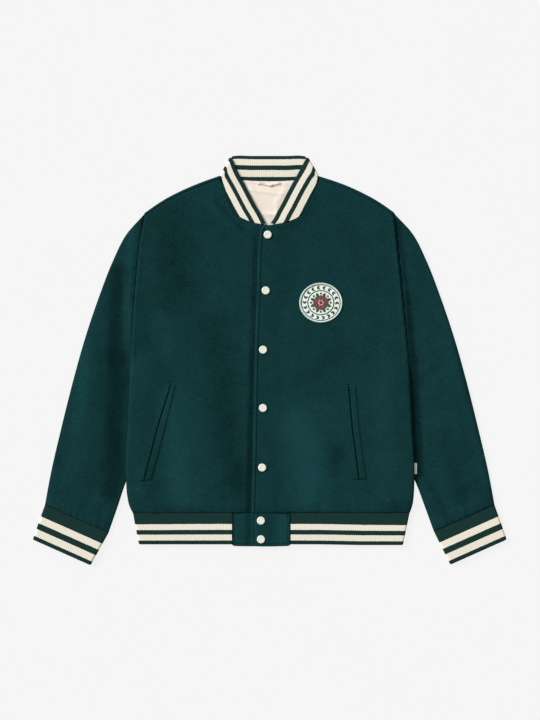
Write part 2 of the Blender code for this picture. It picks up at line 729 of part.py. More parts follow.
def make_snap(name, place, tree, material):
    """A turned cap: a shallow dome with a rolled rim."""
    x, y = place
    base = height_on(tree, x, y) + SEAM
    mesh = bmesh.new()
    profile = [mesh.verts.new((x + SNAP_RADIUS * r, y, base + SNAP_HEIGHT * h)) for r, h in SNAP_PROFILE]
    edges = [mesh.edges.new(pair) for pair in zip(profile, profile[1:])]
    bmesh.ops.spin(mesh, geom=profile + edges, cent=(x, y, 0.0), axis=(0, 0, 1), angle=math.tau,
                   steps=SNAP_SIDES, use_merge=True)
    bmesh.ops.remove_doubles(mesh, verts=mesh.verts, dist=0.001)
    make_object(name, mesh, material)


def make_patch(tree, material):
    """A round patch made from the panel's own surface, moved out, with a raised rim."""
    mesh = bmesh.new()

    def layer(lift, rim):
        centre = mesh.verts.new((*PATCH_CENTRE, height_on(tree, *PATCH_CENTRE) + lift))
        rows = []
        for share, raised in PATCH_RINGS:
            row = []
            for k in range(PATCH_SIDES):
                angle = math.tau * k / PATCH_SIDES
                x = PATCH_CENTRE[0] + PATCH_HALF[0] * share * math.cos(angle)
                y = PATCH_CENTRE[1] + PATCH_HALF[1] * share * math.sin(angle)
                row.append(mesh.verts.new((x, y, height_on(tree, x, y) + lift + rim * raised)))
            rows.append(row)
        for k in range(PATCH_SIDES):
            mesh.faces.new((centre, rows[0][k], rows[0][(k + 1) % PATCH_SIDES]))
        add_quads(mesh, rows, True)
        return rows[-1]

    upper = layer(SEAM + PATCH_WALL, PATCH_RIM)
    lower = layer(SEAM, 0.0)
    add_quads(mesh, [upper, lower], True)
    make_object("chest_patch", mesh, material)


def make_lining(material):
    rows = []
    for y, half in LINING_ROWS[::-1]:
        rows.append([Vector((NECK_X + half * (k / 4 - 1), y, WALL + SEAM + LINING)) for k in range(9)])
    make_object("neck_lining", shell(rows, dropped(rows, LINING)), material)


def make_loop(material):
    base = WALL + SEAM + LINING + SEAM
    rows = [[], []]
    for share in even(LOOP_STEPS):
        x = LOOP_X[0] + (LOOP_X[1] - LOOP_X[0]) * share
        y = LOOP_Y - LOOP_SAG * math.sin(math.pi * share) ** 2
        z = base + LOOP_WALL + LOOP_RISE * math.sin(math.pi * share) ** 2
        rows[0].append(Vector((x, y - LOOP_WIDTH / 2, z)))
        rows[1].append(Vector((x, y + LOOP_WIDTH / 2, z)))
    make_object("hanger_loop", shell(rows, dropped(rows, LOOP_WALL)), material)


def make_label(material):
    """A folded tab that leaves the left side seam and lies over onto the sleeve."""
    rows = []
    for y in LABEL_Y:
        root = -BODY_EDGE.x_at(y) + SEAM
        low = PRESSED + SEAM + LABEL_WALL
        rows.append([Vector((root + LABEL_LENGTH * share, y, low + rise)) for share, rise in LABEL_PROFILE])
    make_object("side_label", shell(rows, dropped(rows, LABEL_WALL)), material)


def main():
    for item in list(bpy.data.objects):
        bpy.data.objects.remove(item, do_unlink=True)
    wool = make_material("melton wool", "123638", 0.9)
    tab_wool = make_material("tab wool", "193f40", 0.9)
    rib = make_material("rib knit", "1c312f", 0.85)
    lining = make_material("satin lining", "ece5db", 0.45)
    enamel = make_material("enamelled brass", "e2e7dd", 0.3)
    thread = make_material("embroidery thread", "d8dcc4", 0.6)

    make_back(wool)
    upper_edge = Path(FRONT_EDGE)
    under_edge = Path([(x + UNDERLAP, y) for x, y in FRONT_EDGE])
    under_tree = make_front("front_right", -1, under_edge, UNDER_COLUMNS, UNDER_CORNER, None, wool)
    upper_tree = make_front("front_left", 1, upper_edge, UPPER_COLUMNS, UPPER_CORNER, upper_edge, wool)
    make_sleeve("sleeve_right", -1, wool)
    make_sleeve("sleeve_left", 1, wool)
    make_cuff("cuff_right", -1, rib)
    make_cuff("cuff_left", 1, rib)
    make_hem_rib(rib)
    make_collar(rib)
    make_tab("hem_tab_right", TAB_UNDER_X, None, tab_wool)
    tab_tree = make_tab("hem_tab_left", TAB_TOP_X, TAB_UNDER_X[1], tab_wool)
    make_welt("pocket_welt_right", -1, under_tree, wool)
    make_welt("pocket_welt_left", 1, upper_tree, wool)
    for number, place in enumerate(SNAPS, start=1):
        make_snap(f"snap_{number}", place, upper_tree if number <= BODY_SNAPS else tab_tree, enamel)
    make_patch(upper_tree, thread)
    make_lining(lining)
    make_loop(lining)
    make_label(lining)


if __name__ == "__main__":
    main()
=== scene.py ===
"""Bomber jacket in melton wool with striped rib trims, laid flat on its back with its snaps fastened.

Sizes and places are in millimetres and become metres as each mesh is made. X runs to the right of
someone who looks down on the jacket, which is the wearer's left, Y runs to the collar and Z up.
Outlines are given for the negative X side, the wearer's right, and mirrored for the other side.
Heights are read from the frame's own solids, and seams, creases and folds are added to them.
"""
import functools
import math

import bmesh
import bpy
import numpy as np
from bpy.props import FloatProperty, FloatVectorProperty, PointerProperty
from mathutils import Matrix, Vector
from mathutils.bvhtree import BVHTree


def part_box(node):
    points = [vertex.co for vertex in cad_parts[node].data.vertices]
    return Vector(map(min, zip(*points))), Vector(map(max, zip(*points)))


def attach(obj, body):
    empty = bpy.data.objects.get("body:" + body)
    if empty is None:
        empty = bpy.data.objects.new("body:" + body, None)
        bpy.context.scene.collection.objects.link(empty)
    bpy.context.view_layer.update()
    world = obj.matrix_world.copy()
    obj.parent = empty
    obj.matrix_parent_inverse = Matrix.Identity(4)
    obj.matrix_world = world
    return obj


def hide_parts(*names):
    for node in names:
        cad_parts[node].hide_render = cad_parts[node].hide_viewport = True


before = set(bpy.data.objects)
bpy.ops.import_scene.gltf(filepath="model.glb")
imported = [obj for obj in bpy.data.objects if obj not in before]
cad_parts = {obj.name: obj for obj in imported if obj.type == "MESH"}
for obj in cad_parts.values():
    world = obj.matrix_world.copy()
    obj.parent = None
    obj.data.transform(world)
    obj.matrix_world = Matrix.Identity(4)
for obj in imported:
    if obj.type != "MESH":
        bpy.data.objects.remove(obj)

bl_info = {
    "name": "Bomber Jacket",
    "version": (1, 0, 0),
    "blender": (4, 5, 0),
    "location": "View3D > Sidebar > Jacket",
    "description": "Dresses a flat-laid wool bomber jacket with striped rib trims",
    "category": "Object",
}

MM = 0.001
BODY = "root"
SIDES = ((-1, "right"), (1, "left"))     # the sign of X, and the wearer's word for it
UP = np.array([0.0, 0.0, 1.0])
LOOK_UP_FROM, LOOK_DOWN_FROM = -50.0, 100.0   # heights clear of the jacket, in millimetres

# The stage, in metres
FLOOR_HALF = 4.0
FLOOR_Z = -0.0004             # just under the jacket
KEY_WAY = (-0.83, 0.56)       # from the jacket towards the key light, seen from above
JACKET_TOP = 0.008            # the height at which the picture's frame is measured
CAMERA_X = 0.0005             # the camera stands this far to the right of the middle

# ---------------------------------------------------------------- the cut, in millimetres

SEAM = 0.3                    # clear space between neighbouring pieces
HEM_SEAM_Y = -291.2           # where the hem band is sewn to the body, and where it ends
HEM_EDGE_Y = -350.5
HEM_HALF = {-1: (260.3, 248.8), 1: (266.0, 253.4)}   # half width at its seam and at its free edge
HEM_STRAIGHT = 76.0           # the hem band draws in only beyond this distance from the middle
HEM_SAG = 1.4                 # the free edge lies this much lower on the wearer's left
HEM_LAP = 0.5                 # the hem band runs this far under the body
TAB_EDGE_Y = -353.7           # the lower edge of both tabs, and how far each reaches across
TAB_UNDER_X = (-71.7, -7.0)
TAB_TOP_X = (-35.1, 39.4)
TAB_STITCH = 4.6              # from a tab's edges to its topstitching
BODY_SIDE = {-1: [(-260.3, -291.2), (-266.5, -277.0), (-270.8, -255.0), (-272.7, -226.0),
                  (-269.3, -128.0), (-266.5, -55.0), (-264.3, 0.0)],
             1: [(-266.0, -291.2), (-270.6, -277.0), (-273.4, -255.0), (-274.6, -226.0),
                 (-270.3, -128.0), (-266.5, -55.0), (-264.3, 0.0)]}
# The armhole seam: Y, then its distance from the middle on the wearer's right and left
ARMHOLE = [(0.0, 264.3, 264.3), (75.0, 259.6, 256.5), (150.0, 254.2, 249.0), (225.0, 246.6, 241.0)]
SHOULDER_POINT = {-1: (-238.5, 279.5), 1: (236.5, 280.9)}   # where the shoulders meet the sleeves
SHOULDER = [(-140.1, 334.4), (-174.3, 319.2), (-202.8, 304.0)]
SHOULDER_FORWARD = 3.7        # the flat run of the back's shoulder past its fold
SLEEVE_OUTER = [(-275.0, 235.6), (-297.8, 190.0), (-324.4, 121.6), (-354.8, 30.4), (-373.8, -38.0),
                (-396.6, -129.0), (-417.5, -220.0), (-427.8, -276.0)]
UNDERARM = [(-264.4, 0.0), (-263.8, -20.0), (-262.4, -40.0), (-255.0, -68.0), (-243.0, -98.0),
            (-240.5, -126.0), (-248.0, -172.0)]
SLEEVE_INNER = {-1: UNDERARM + [(-263.0, -208.0), (-273.4, -232.0), (-288.6, -277.0), (-306.8, -329.3)],
                1: UNDERARM + [(-264.6, -208.0), (-277.0, -232.0), (-294.2, -277.0), (-312.4, -326.9)]}
SLEEVE_LAP = 1.4              # the sleeves run this far under the body's edges
SLEEVE_LAP_OUT = 0.04         # at the outer edge down to this share, at the inner one less and less
SLEEVE_LAP_IN = (0.1, 0.35)   # between these
SLEEVE_OUTER_PACE = 0.8       # sections fan out from the armhole: fast along the outer edge
SLEEVE_INNER_PACE = 1.5       # and slowly along the inner one
SLEEVE_RUN = 560.0            # from the middle of the armhole to the cuff
SLEEVE_ROWS = 590.0           # a sleeve's length and its widths above and below, for the mesh's rows
SLEEVE_COLUMNS = (190.0, 130.0)
SLEEVE_CAP_SINK = {-1: 1.2, 1: 2.2}   # how far the sleeves dip before they meet the body
CUFF_SEAM = {-1: [(-427.8, -276.0), (-306.8, -329.3)], 1: [(-427.8, -276.0), (-312.4, -326.9)]}
CUFF_EDGE = {-1: [(-450.8, -341.3), (-340.6, -390.4)], 1: [(-450.8, -341.3), (-343.4, -389.2)]}
CUFF_LAP = 0.5                # the cuffs run this far under the sleeves
FRONT_EDGE = [(-35.1, -291.2), (-32.6, -203.3), (-30.9, -114.0), (-28.6, 19.0), (-24.2, 133.0),
              (-20.6, 228.0), (-18.4, 246.0), (-14.0, 254.5)]
FRONT_ROUNDED = 2.6           # heights this near to the front edge are taken from further in
UNDERLAP = 28.0               # the right front runs this far on, under the left one
# From the front edge to the corner of the neck, and to the side seam at the widest, per front
FRONT_WIDTHS = {-1: (140.0, 262.0), 1: (143.0, 297.0)}
BACK_WIDTHS = (184.0, 265.0)  # from the side seam to the neck, and to the middle of the back
ROWS_TO_Y = 280.0             # the panels' rows are spaced for a height up to here
# What a front's seams do to it: depth and width of the dip; height, place and reach of the roll
# beside it; height, width and pitch of the puckers
FRONT_SEAMS = {"armhole": (1.3, 1.0, 1.3, 3.5, 6.0, 0.45, 11.0, 15.0),
               "side": (2.0, 2.6, 0.0, 0.0, 1.0, 0.3, 12.0, 19.0),
               "shoulder": (0.3, 1.6, 0.0, 0.0, 1.0, 0.3, 9.0, 16.0),
               "neck": (1.2, 1.6, 0.5, 5.0, 4.5, 0.3, 12.0, 14.0)}
NECK_X = -2.0                 # the middle of the neck
NECK_POINT = (94.4, 350.4)    # where the shoulder's outline meets the collar
NECK_LAP = 0.6                # the collar laps over the panels' neck edge
NECK_DEPTH = 12.0             # the flat strip of the back along the neck
NECK_STITCH = 5.6             # from the collar's seam to its topstitching
NECK_END = 8.0                # the fronts' neck edge runs straight over this height at its upper end
# The collar from each front end to its side fold: seam x, seam y, free edge x, free edge y
COLLAR_FRONT = {
    -1: [(-12.6, 257.6, -6.4, 260.0), (-29.5, 261.5, -10.6, 269.3), (-51.6, 270.4, -19.4, 285.3),
         (-61.4, 277.3, -24.4, 293.3), (-69.0, 290.0, -32.0, 307.5), (-80.4, 319.4, -46.9, 336.0),
         (-88.0, 341.8, -58.4, 357.1), (-89.3, 348.2, -69.2, 382.4)],
    1: [(-12.0, 257.6, -3.4, 260.0), (-31.0, 261.5, -9.8, 269.3), (-52.6, 269.8, -18.0, 285.3),
        (-63.4, 277.3, -22.6, 293.3), (-71.2, 290.0, -29.9, 307.5), (-84.2, 319.4, -44.9, 336.0),
        (-91.8, 341.8, -57.0, 357.1), (-92.2, 350.0, -70.6, 382.6)],
}
COLLAR_BACK = [(-89.3, 348.2, -71.4, 384.6), (-84.0, 347.8, -70.0, 387.7), (-77.0, 346.6, -65.0, 388.6),
               (-34.0, 341.4, -33.0, 388.6), (0.0, 340.4, 0.0, 388.6)]
COLLAR_EASE = {-1: 1.0, 1: 0.92}      # the strip's width over the width it lies at, in front
COLLAR_BACK_EASE = 0.865      # and at the back
COLLAR_FOLD_EASE = 0.1        # the front's ease falls by this share on its way into the fold
COLLAR_FOLD_OUT = (-0.855, 0.519)     # the way in which its fold on the wearer's right points
COLLAR_HEIGHT = 5.1           # the front of the collar lies this high
COLLAR_END_RISE = 2.6         # the upper front's end of the collar, over the under front's
COLLAR_END_RUN = 0.3          # and the share of the front over which it comes down
COLLAR_ROLL = 2.1             # the back of the collar rolls this much of its first stripe outwards
SNAPS = 7                     # the first five on the placket, two on the tabs
PLACKET_SNAPS = 5
SNAP_SHIFT = (1.4, -1.2)      # the caps sit this far off the middle of their solids
SNAP_SHARE = 0.91             # and are this much of their size
BACK_NECK = (88.0, 352.8)     # the back's rolled shoulders run on to here, under the collar's folds
# Widths of the green and cream stripes from the free edge, then green up to the seam
STRIPES = {"cuff": (8.5, 13.9, 11.6, 13.4), "hem": (8.1, 11.3, 8.9, 10.9), "collar": (8.3, 10.1, 7.7, 11.2)}

# Each pocket's opening, its rows of stitches in order of X, both top to bottom, and its bar tacks
POCKETS = {
    -1: {"mouth": [(-186.9, -44.7), (-214.5, -137.0), (-238.2, -228.8)],
         "rows": [[(-198.4, -50.4), (-222.9, -140.0), (-246.0, -230.7)],
                  [(-179.1, -46.6), (-201.0, -138.0), (-225.6, -230.7)]],
         "bars": [[(-194.7, -40.7), (-177.2, -41.8)], [(-248.8, -237.5), (-225.6, -238.5)]]},
    1: {"mouth": [(150.0, -47.5), (158.5, -137.0), (170.3, -226.9)],
        "rows": [[(141.1, -58.0), (148.8, -140.0), (158.8, -222.9)],
                 [(162.5, -46.6), (171.0, -137.0), (182.9, -225.0)]],
        "bars": [[(137.3, -45.6), (164.4, -45.6)], [(156.7, -232.6), (185.9, -233.7)]]},
}

POCKET_DEPTH = 2.2            # how deep the fronts sink under the mouths of the pockets
POCKET_REACH = 7.0            # and how far from them they begin to
LINING_EDGE = [(251.0, 10.0), (262.0, 17.0), (300.0, 40.0), (342.6, 58.0)]   # y, half its width
# A snap cap from its middle out and round its rim: share of its radius, share of its height
CAP_PROFILE = [(0.0, 0.86), (0.35, 0.87), (0.55, 0.90), (0.66, 0.95), (0.75, 0.99), (0.83, 0.96),
               (0.91, 0.82), (0.97, 0.55), (1.0, 0.3), (0.985, 0.12), (0.94, 0.0), (0.0, 0.0)]
PATCH_RINGS = ((0.855, 0.9), (0.565, 0.62))      # inner and outer edges, of the patch's radius
TWILL_SHARE = 0.955           # the twill ends here, under the rim
SPRIGS = 18                   # in the ring of the patch
SPRIG_ROWS = ((0.775, 33), (0.705, -33))         # how far out their leaves are, and their lean
SPRIG_LEAF = (0.088, 0.042)   # half its length and half its width
PETALS = 8                    # with as many leaves between them
HEART = 0.085                 # radius of the flower's middle
# Round the flower: place from the middle, turn in petals, half length, half width, heading in degrees
FLOWER = {"petals": (0.235, 0.0, 0.145, 0.09, 90), "leaves": (0.375, 0.5, 0.135, 0.082, 90),
          "heart": (0.45, 0.0, 0.052, 0.052, 0)}
PATCH_THREADS = {"rings": ("dark green thread", "patch_green"), "petals": ("dusty red thread", "patch_red"),
                 "leaves": ("mid green thread", "patch_leaf"), "heart": ("brown thread", "patch_brown"),
                 "rim": ("rim thread", "patch_rim")}
RIM_TURNS = 118               # of the thread that is wrapped round the patch's edge
RIM_PLACE = 0.948             # the middle of the rim, of the patch's radius
RIM_HALF = (1.25, 1.0)        # half the rim's width and height, in millimetres
RIM_RISE = 1.25               # the rim's middle and the twill's upper face over the wool
TWILL_RISE = 1.1
SATIN_LIFT = 0.2              # of satin stitches over the twill, and of their borders below it
LOOP_ROUND = 11.2             # the width of the hanger loop's tape, all round its fold
# Distances of the mesh's close columns: from the placket's edge, round its topstitching and past it,
# from a tab's edges, and from a pocket's mouth and from its stitches
PLACKET_COLUMNS = [0.0, 0.4, 1.0, 1.8, 2.8, 4.0]
GROOVE_COLUMNS = [-1.6, -0.7, 0.0, 0.7, 1.6]
PAST_COLUMNS = [10.0, 13.0]
TAB_COLUMNS = [0.0, 0.5, 1.2, 2.2, 3.2, 4.0, 4.6, 5.2, 6.2, 8.5]
MOUTH_COLUMNS = [0.8, 1.2, 1.8, 2.6, 3.6]
LIP_COLUMNS = [-1.4, -0.7, 0.0, 0.7, 1.4, 2.0, 2.6]
WALLS = {"lining": 0.8, "tape": 0.25, "tab": 3.6, "pocket": 0.6, "label": 0.3, "twill": 0.8}
# How often the heights that are read from a solid or a piece are softened
PASSES = {"front": 14, "back": 4, "sleeve": 10, "tab": 3, "pocket": 2, "patch": 6}
SEWING_THREAD = (0.8, 0.06)   # from one turn of the thread to the next, gloss
EMBROIDERY_THREAD = (0.9, 0.25)
BAR_TACK = (2.2, 0.1, 1.5, 0.9)       # length and gap of its stitches, thickness factor, lean
FOLD_STEPS = 8                # steps round each fold of the knit
FOLD_TURNS = [math.pi * k / FOLD_STEPS for k in range(1, FOLD_STEPS)]
ROLL_STEPS = 7                # steps round each fold of the wool
FACE_ROWS = 14                # rows of the knit's mesh on each face, and round the free edge
EDGE_ROWS = 4
RIB_PROFILE = (1.0, 0.72, 0.0, 0.72)  # heights from a rib's crest on, as shares of its depth
RIB_RISE = 0.45               # the upper face of a band lies this much over its wall
RIB_PUFF = 0.7                # and this much more along its middle
KNIT_WIDTH = 60.0             # all stripes lie within this distance of a band's free edge

# Soft ridges and troughs of the body: start x, y, end x, y, reach to each side, height
BODY_CREASES = [
    (-205, -60, -150, -262, 46, 0.9), (168, -30, 196, -250, 44, 0.9), (-150, 190, -96, 20, 42, -0.8),
    (176, 214, 128, 60, 40, -0.7), (-116, -120, -88, -262, 34, 0.9), (92, -110, 108, -262, 36, 0.9),
    (-46, 120, -62, -190, 26, -0.7), (-60, 244, -128, 196, 20, -0.6), (52, 250, 118, 214, 22, -0.6),
    (-168, 250, -196, 120, 30, 0.6), (196, 262, 216, 120, 28, 0.6), (-246, 150, -206, 60, 22, 0.6),
    (-250, 60, -196, -6, 20, -0.5), (246, 84, 192, 6, 20, -0.6), (250, -20, 206, -96, 18, 0.5),
    (34, -60, 96, -150, 22, 0.6), (20, -166, 74, -236, 18, -0.6), (58, -10, 132, -36, 20, -0.5),
    (-20, -30, 30, -70, 14, -0.35), (-22, 78, 34, 52, 14, -0.35), (-100, -28, -168, -96, 20, -0.5),
    (112, -228, 104, -286, 13, -0.9), (214, -216, 226, -284, 15, -0.9), (-30, -216, 12, -280, 13, -0.5),
    (-142, -230, -134, -286, 15, -0.8), (-206, -236, -216, -286, 14, -0.8),
    (-84, -240, -78, -288, 12, -0.7), (60, -240, 62, -288, 12, -0.7), (160, -238, 168, -288, 13, 0.6),
    (-240, -210, -250, -280, 14, 0.6),
]
# The same for the sleeves, on the wearer's right and on the left
SLEEVE_CREASES = {
    -1: [(-286, 150, -284, -60, 26, -2.2), (-280, -60, -286, -240, 26, -1.8),
         (-334, 90, -356, -120, 34, 1.9), (-344, -120, -372, -270, 30, 1.5),
         (-268, 230, -276, 90, 10, 0.8), (-330, 24, -292, 6, 18, -0.8), (-258, 214, -288, 140, 20, 0.7),
         (-300, -150, -336, -284, 20, -1.0), (-392, -150, -352, -182, 16, -0.7),
         (-396, -196, -330, -238, 15, -0.8), (-404, -232, -356, -262, 13, 0.7),
         (-318, -60, -366, -88, 18, 0.5), (-262, 120, -278, 20, 14, -0.8),
         (-376, -250, -386, -292, 11, -0.6), (-340, -262, -350, -306, 11, -0.6),
         (-284, 60, -322, 84, 16, 0.5), (-286, -222, -310, -300, 14, 0.6)],
    1: [(282, 110, 288, -120, 24, -1.8), (346, 60, 378, -150, 34, 1.5), (330, -140, 360, -280, 28, 1.1),
        (334, -6, 296, -34, 18, -0.9), (262, 220, 292, 150, 20, 0.7), (298, -160, 330, -286, 20, -0.9),
        (300, -70, 352, -84, 15, 0.7), (296, -104, 360, -122, 14, -0.7), (304, -140, 366, -158, 14, 0.6),
        (394, -170, 350, -206, 16, -0.7), (402, -216, 340, -252, 15, 0.6), (260, 110, 276, 10, 14, -0.9),
        (372, -256, 384, -296, 11, -0.6), (336, -268, 346, -312, 11, -0.6), (288, 40, 326, 66, 16, 0.5)],
}
# Painted light and shade on the wool, partly where the nap catches the light or lies away from it and partly
# painted shadows beside edges, seams and folds: start x, y, end x, y, reach, share
BODY_NAP_AND_SHADE = [
    (-188, 262, -178, 140, 78, -0.27), (-104, 70, -70, -230, 50, -0.26), (-60, -200, -52, -286, 24, -0.12),
    (-29, 236, -32, 30, 6, -0.3), (-34, 20, -41, -288, 8, -0.45), (-184, -80, -166, -250, 56, 0.34),
    (-206, 74, -196, 26, 34, 0.12), (48, -120, 78, -244, 66, 0.4), (108, -92, 124, -136, 36, 0.14),
    (62, -36, 142, 22, 28, -0.14), (130, -166, 122, -214, 20, -0.2), (-116, 292, -66, 262, 16, 0.14),
    (-102, 300, -52, 246, 9, -0.26), (92, 296, 44, 250, 12, -0.14), (30, 90, 22, 4, 20, 0.1),
    (150, 250, 190, 150, 40, -0.08), (-236, 120, -238, 10, 26, -0.1), (190, -40, 214, -200, 40, 0.08),
    (226, -232, 230, -286, 14, -0.12), (-246, -200, -246, -284, 14, 0.1), (222, -264, 232, -274, 6, 0.3),
    (232, -268, 240, -284, 7, -0.22), (100, -272, 106, -286, 6, 0.2),
]
TAB_NAP_AND_SHADE = [(-41, -296, -42, -348, 9, -0.4), (-62, -300, -60, -346, 9, 0.12), (20, -300, 16, -346, 20, 0.42),
           (-6, -300, -2, -318, 12, -0.16), (-26, -300, -26, -350, 7, 0.2), (32, -300, 32, -346, 6, 0.16)]
SLEEVE_NAP_AND_SHADE = {
    -1: [(-262, 244, -274, 66, 14, 0.3), (-288, 170, -294, 0, 26, -0.42), (-290, 0, -298, -246, 38, -0.46),
         (-346, 24, -364, -124, 24, 0.16), (-404, -186, -398, -206, 10, -0.2),
         (-330, -256, -352, -296, 16, 0.1), (-330, 150, -342, 96, 16, 0.1)],
    1: [(244, 262, 262, 110, 9, -0.5), (262, 110, 272, 0, 12, -0.55), (272, 0, 284, -216, 15, -0.6),
        (330, 120, 352, -40, 30, 0.1), (330, -150, 366, -262, 26, -0.1), (376, -80, 398, -210, 18, 0.12),
        (308, -236, 330, -296, 12, -0.14)],
}
# Troughs on the back, which lies on its outer face: they rise from the surface below
BACK_CREASES = [
    (-150, 150, -60, -40, 30, 0.8), (160, 120, 70, -80, 28, 0.8), (-210, -90, -120, -250, 34, 1.0),
    (200, -110, 130, -262, 32, 0.9), (-30, 240, 24, 120, 24, 0.6), (-60, -150, -40, -286, 18, 0.9),
    (66, -170, 52, -286, 18, 0.8), (-180, 220, -220, 90, 26, 0.7), (190, 210, 226, 70, 24, 0.7),
    (-120, -230, -126, -288, 14, 0.8), (118, -226, 110, -288, 14, 0.8), (10, -60, -10, -180, 26, 0.5),
]
# Wrinkles of the lining in the neck, in the same form
WRINKLES = [(-44, 322, 34, 320, 5, 0.7), (-20, 279, 20, 281, 6, 0.8), (-40, 336, -14, 300, 9, 0.5),
            (34, 336, 12, 296, 8, 0.5), (-24, 306, 10, 262, 9, -0.4), (20, 300, 0, 256, 8, 0.5),
            (-50, 332, 46, 333, 3.5, -0.5)]


# ---------------------------------------------------------------- settings

def linear(code):
    """Turn an sRGB hex colour into linear red, green and blue."""
    values = [int(code[k:k + 2], 16) / 255 for k in (1, 3, 5)]
    return tuple(v / 12.92 if v <= 0.04045 else ((v + 0.055) / 1.055) ** 2.4 for v in values)


def colour_setting(name, code, description):
    return FloatVectorProperty(name=name, description=description, subtype="COLOR", size=3,
                               min=0.0, max=1.0, default=linear(code))


def length_setting(name, millimetres, description):
    return FloatProperty(name=name, description=description, unit="LENGTH", min=0.0,
                         default=millimetres * MM, precision=4)


class JacketSizes(bpy.types.PropertyGroup):
    """Sizes of the cloth, knit and thread."""
    wool_wall: length_setting("Wool wall", 3.0, "Melton wool together with its lining")
    mesh_step: length_setting("Mesh step", 4.0, "Distance between neighbouring points of a panel")
    rib_wall: length_setting("Rib wall", 4.2, "Doubled rib knit")
    rib_pitch: length_setting("Rib pitch", 4.2, "From one rib to the next")
    rib_depth: length_setting("Rib depth", 0.3, "From a rib's crest to the valley beside it")
    stitch_length: length_setting("Stitch length", 3.0, "Visible length of one topstitch")
    stitch_gap: length_setting("Stitch gap", 1.0, "From one topstitch to the next")
    thread: length_setting("Thread", 0.7, "Thickness of the topstitching thread")
    placket_stitch: length_setting("Placket stitch", 6.7, "From the front edge to its topstitching")
    crease_depth: FloatProperty(name="Crease depth", description="Factor on all creases and folds",
                                min=0.0, max=3.0, default=1.0)


class JacketColours(bpy.types.PropertyGroup):
    """Colours of the cloth, knit, thread and caps."""
    # Painted shade and painted light: the darker and the lighter end of the wool's colour, which stand
    # partly for how the nap lies
    wool: colour_setting("Wool", "#0a2325", "Melton wool, where its nap lies away from the light")
    wool_light: colour_setting("Wool light", "#184143", "Melton wool, where its nap catches the light")
    tab_wool: colour_setting("Tab wool", "#0c2a2a", "Wool of the hem tabs")
    rib: colour_setting("Rib", "#1a3532", "Ground colour of the rib knit")
    stripe: colour_setting("Stripe", "#ece5d4", "Stripes of the rib knit")
    lining: colour_setting("Lining", "#f4e8da", "Satin lining and hanger loop")
    thread: colour_setting("Thread", "#123638", "Topstitching thread")
    snap: colour_setting("Snap", "#ebebdf", "Enamel of the snap caps")
    patch_rim: colour_setting("Patch rim", "#def4ea", "Overlocked rim of the patch")
    patch_ground: colour_setting("Patch ground", "#eef6ec", "Twill ground of the patch")
    patch_green: colour_setting("Patch green", "#234b40", "Dark green embroidery")
    patch_leaf: colour_setting("Patch leaf", "#33604a", "Mid green embroidery")
    patch_red: colour_setting("Patch red", "#8a3f4a", "Dusty red embroidery")
    patch_brown: colour_setting("Patch brown", "#6b4038", "Brown embroidery")


class JacketStage(bpy.types.PropertyGroup):
    """Floor, light and camera."""
    floor: colour_setting("Floor", "#f6f6f6", "Pale light table")
    key_strength: FloatProperty(name="Key light", description="Strength of the light from the upper left",
                                min=0.0, default=3.5)
    key_height: FloatProperty(name="Key height", description="Angle of the key light above the floor",
                              subtype="ANGLE", min=0.1, max=1.5, default=math.radians(33))
    key_softness: FloatProperty(name="Key softness", description="How wide the key light looks",
                                subtype="ANGLE", min=0.0, max=2.0, default=math.radians(24))
    fill: FloatProperty(name="Fill", description="Strength of the even light from all round",
                        min=0.0, default=0.42)
    glow: FloatProperty(name="Floor glow", description="How much of the floor's light is its own",
                        min=0.0, max=1.0, default=0.92)
    camera_height: FloatProperty(name="Camera height", description="Height of the camera over the floor",
                                 unit="LENGTH", min=0.5, default=3.2)
    frame_height: FloatProperty(name="Frame height", description="Height of the picture at the jacket",
                                unit="LENGTH", min=0.1, default=1.368)


def sizes():
    return bpy.context.scene.jacket_sizes


def size(name):
    """Return one of the settings' lengths in millimetres."""
    return getattr(sizes(), name) / MM


def colours():
    return bpy.context.scene.jacket_colours


def box(node):
    """Return the lowest and the highest corner of a node's box, in millimetres."""
    return [np.array(corner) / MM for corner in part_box(node)]


# ---------------------------------------------------------------- lines and fields

class Line:
    """A smooth line through a few points, read by the share of its length."""

    def __init__(self, points, steps=16):
        points = np.array(points, float)
        steps_between = np.diff(points, axis=0)
        spans = np.linalg.norm(steps_between, axis=1)
        slopes = np.zeros_like(points)
        slopes[0] = steps_between[0] / spans[0]
        slopes[-1] = steps_between[-1] / spans[-1]
        for k in range(1, len(points) - 1):
            ratio = spans[k] / spans[k - 1]
            total = spans[k] + spans[k - 1]
            slopes[k] = (steps_between[k - 1] * ratio + steps_between[k] / ratio) / total
        fine = []
        for k in range(len(points) - 1):
            for t in np.arange(steps) / steps:
                ends = points[k] * (1 + 2 * t) * (1 - t) ** 2 + points[k + 1] * t * t * (3 - 2 * t)
                turn = slopes[k] * t * (1 - t) ** 2 - slopes[k + 1] * t * t * (1 - t)
                fine.append(ends + turn * spans[k])
        self.points = np.array(fine + [points[-1]])
        self.reach = run_along(self.points)

    def at(self, shares):
        return read_along(np.asarray(shares, float) * self.reach[-1], self.reach, self.points)

    def sample(self, count):
        return self.at(np.linspace(0.0, 1.0, count + 1))

    def nearest(self, x, y):
        """Return each place's distance from the line and its place along it."""
        square = (x[..., None] - self.points[:, 0]) ** 2 + (y[..., None] - self.points[:, 1]) ** 2
        k = square.argmin(axis=-1)
        return np.sqrt(square.min(axis=-1)), self.reach[k]


def run_along(points):
    """Return how far along its line each point lies."""
    return np.concatenate([[0.0], np.cumsum(np.linalg.norm(np.diff(points, axis=0), axis=1))])


def read_along(places, reach, table):
    """Read each column of a table at places along its line."""
    return np.stack([np.interp(places, reach, column) for column in table.T], axis=-1)


def stack(*parts):
    """Join coordinates of any shapes that fit each other into one array of points."""
    return np.stack(np.broadcast_arrays(*parts), axis=-1)


def between(start, end, shares):
    """Return points between two points, or two lists of them, at the given shares."""
    return start * (1 - shares[..., None]) + end * shares[..., None]


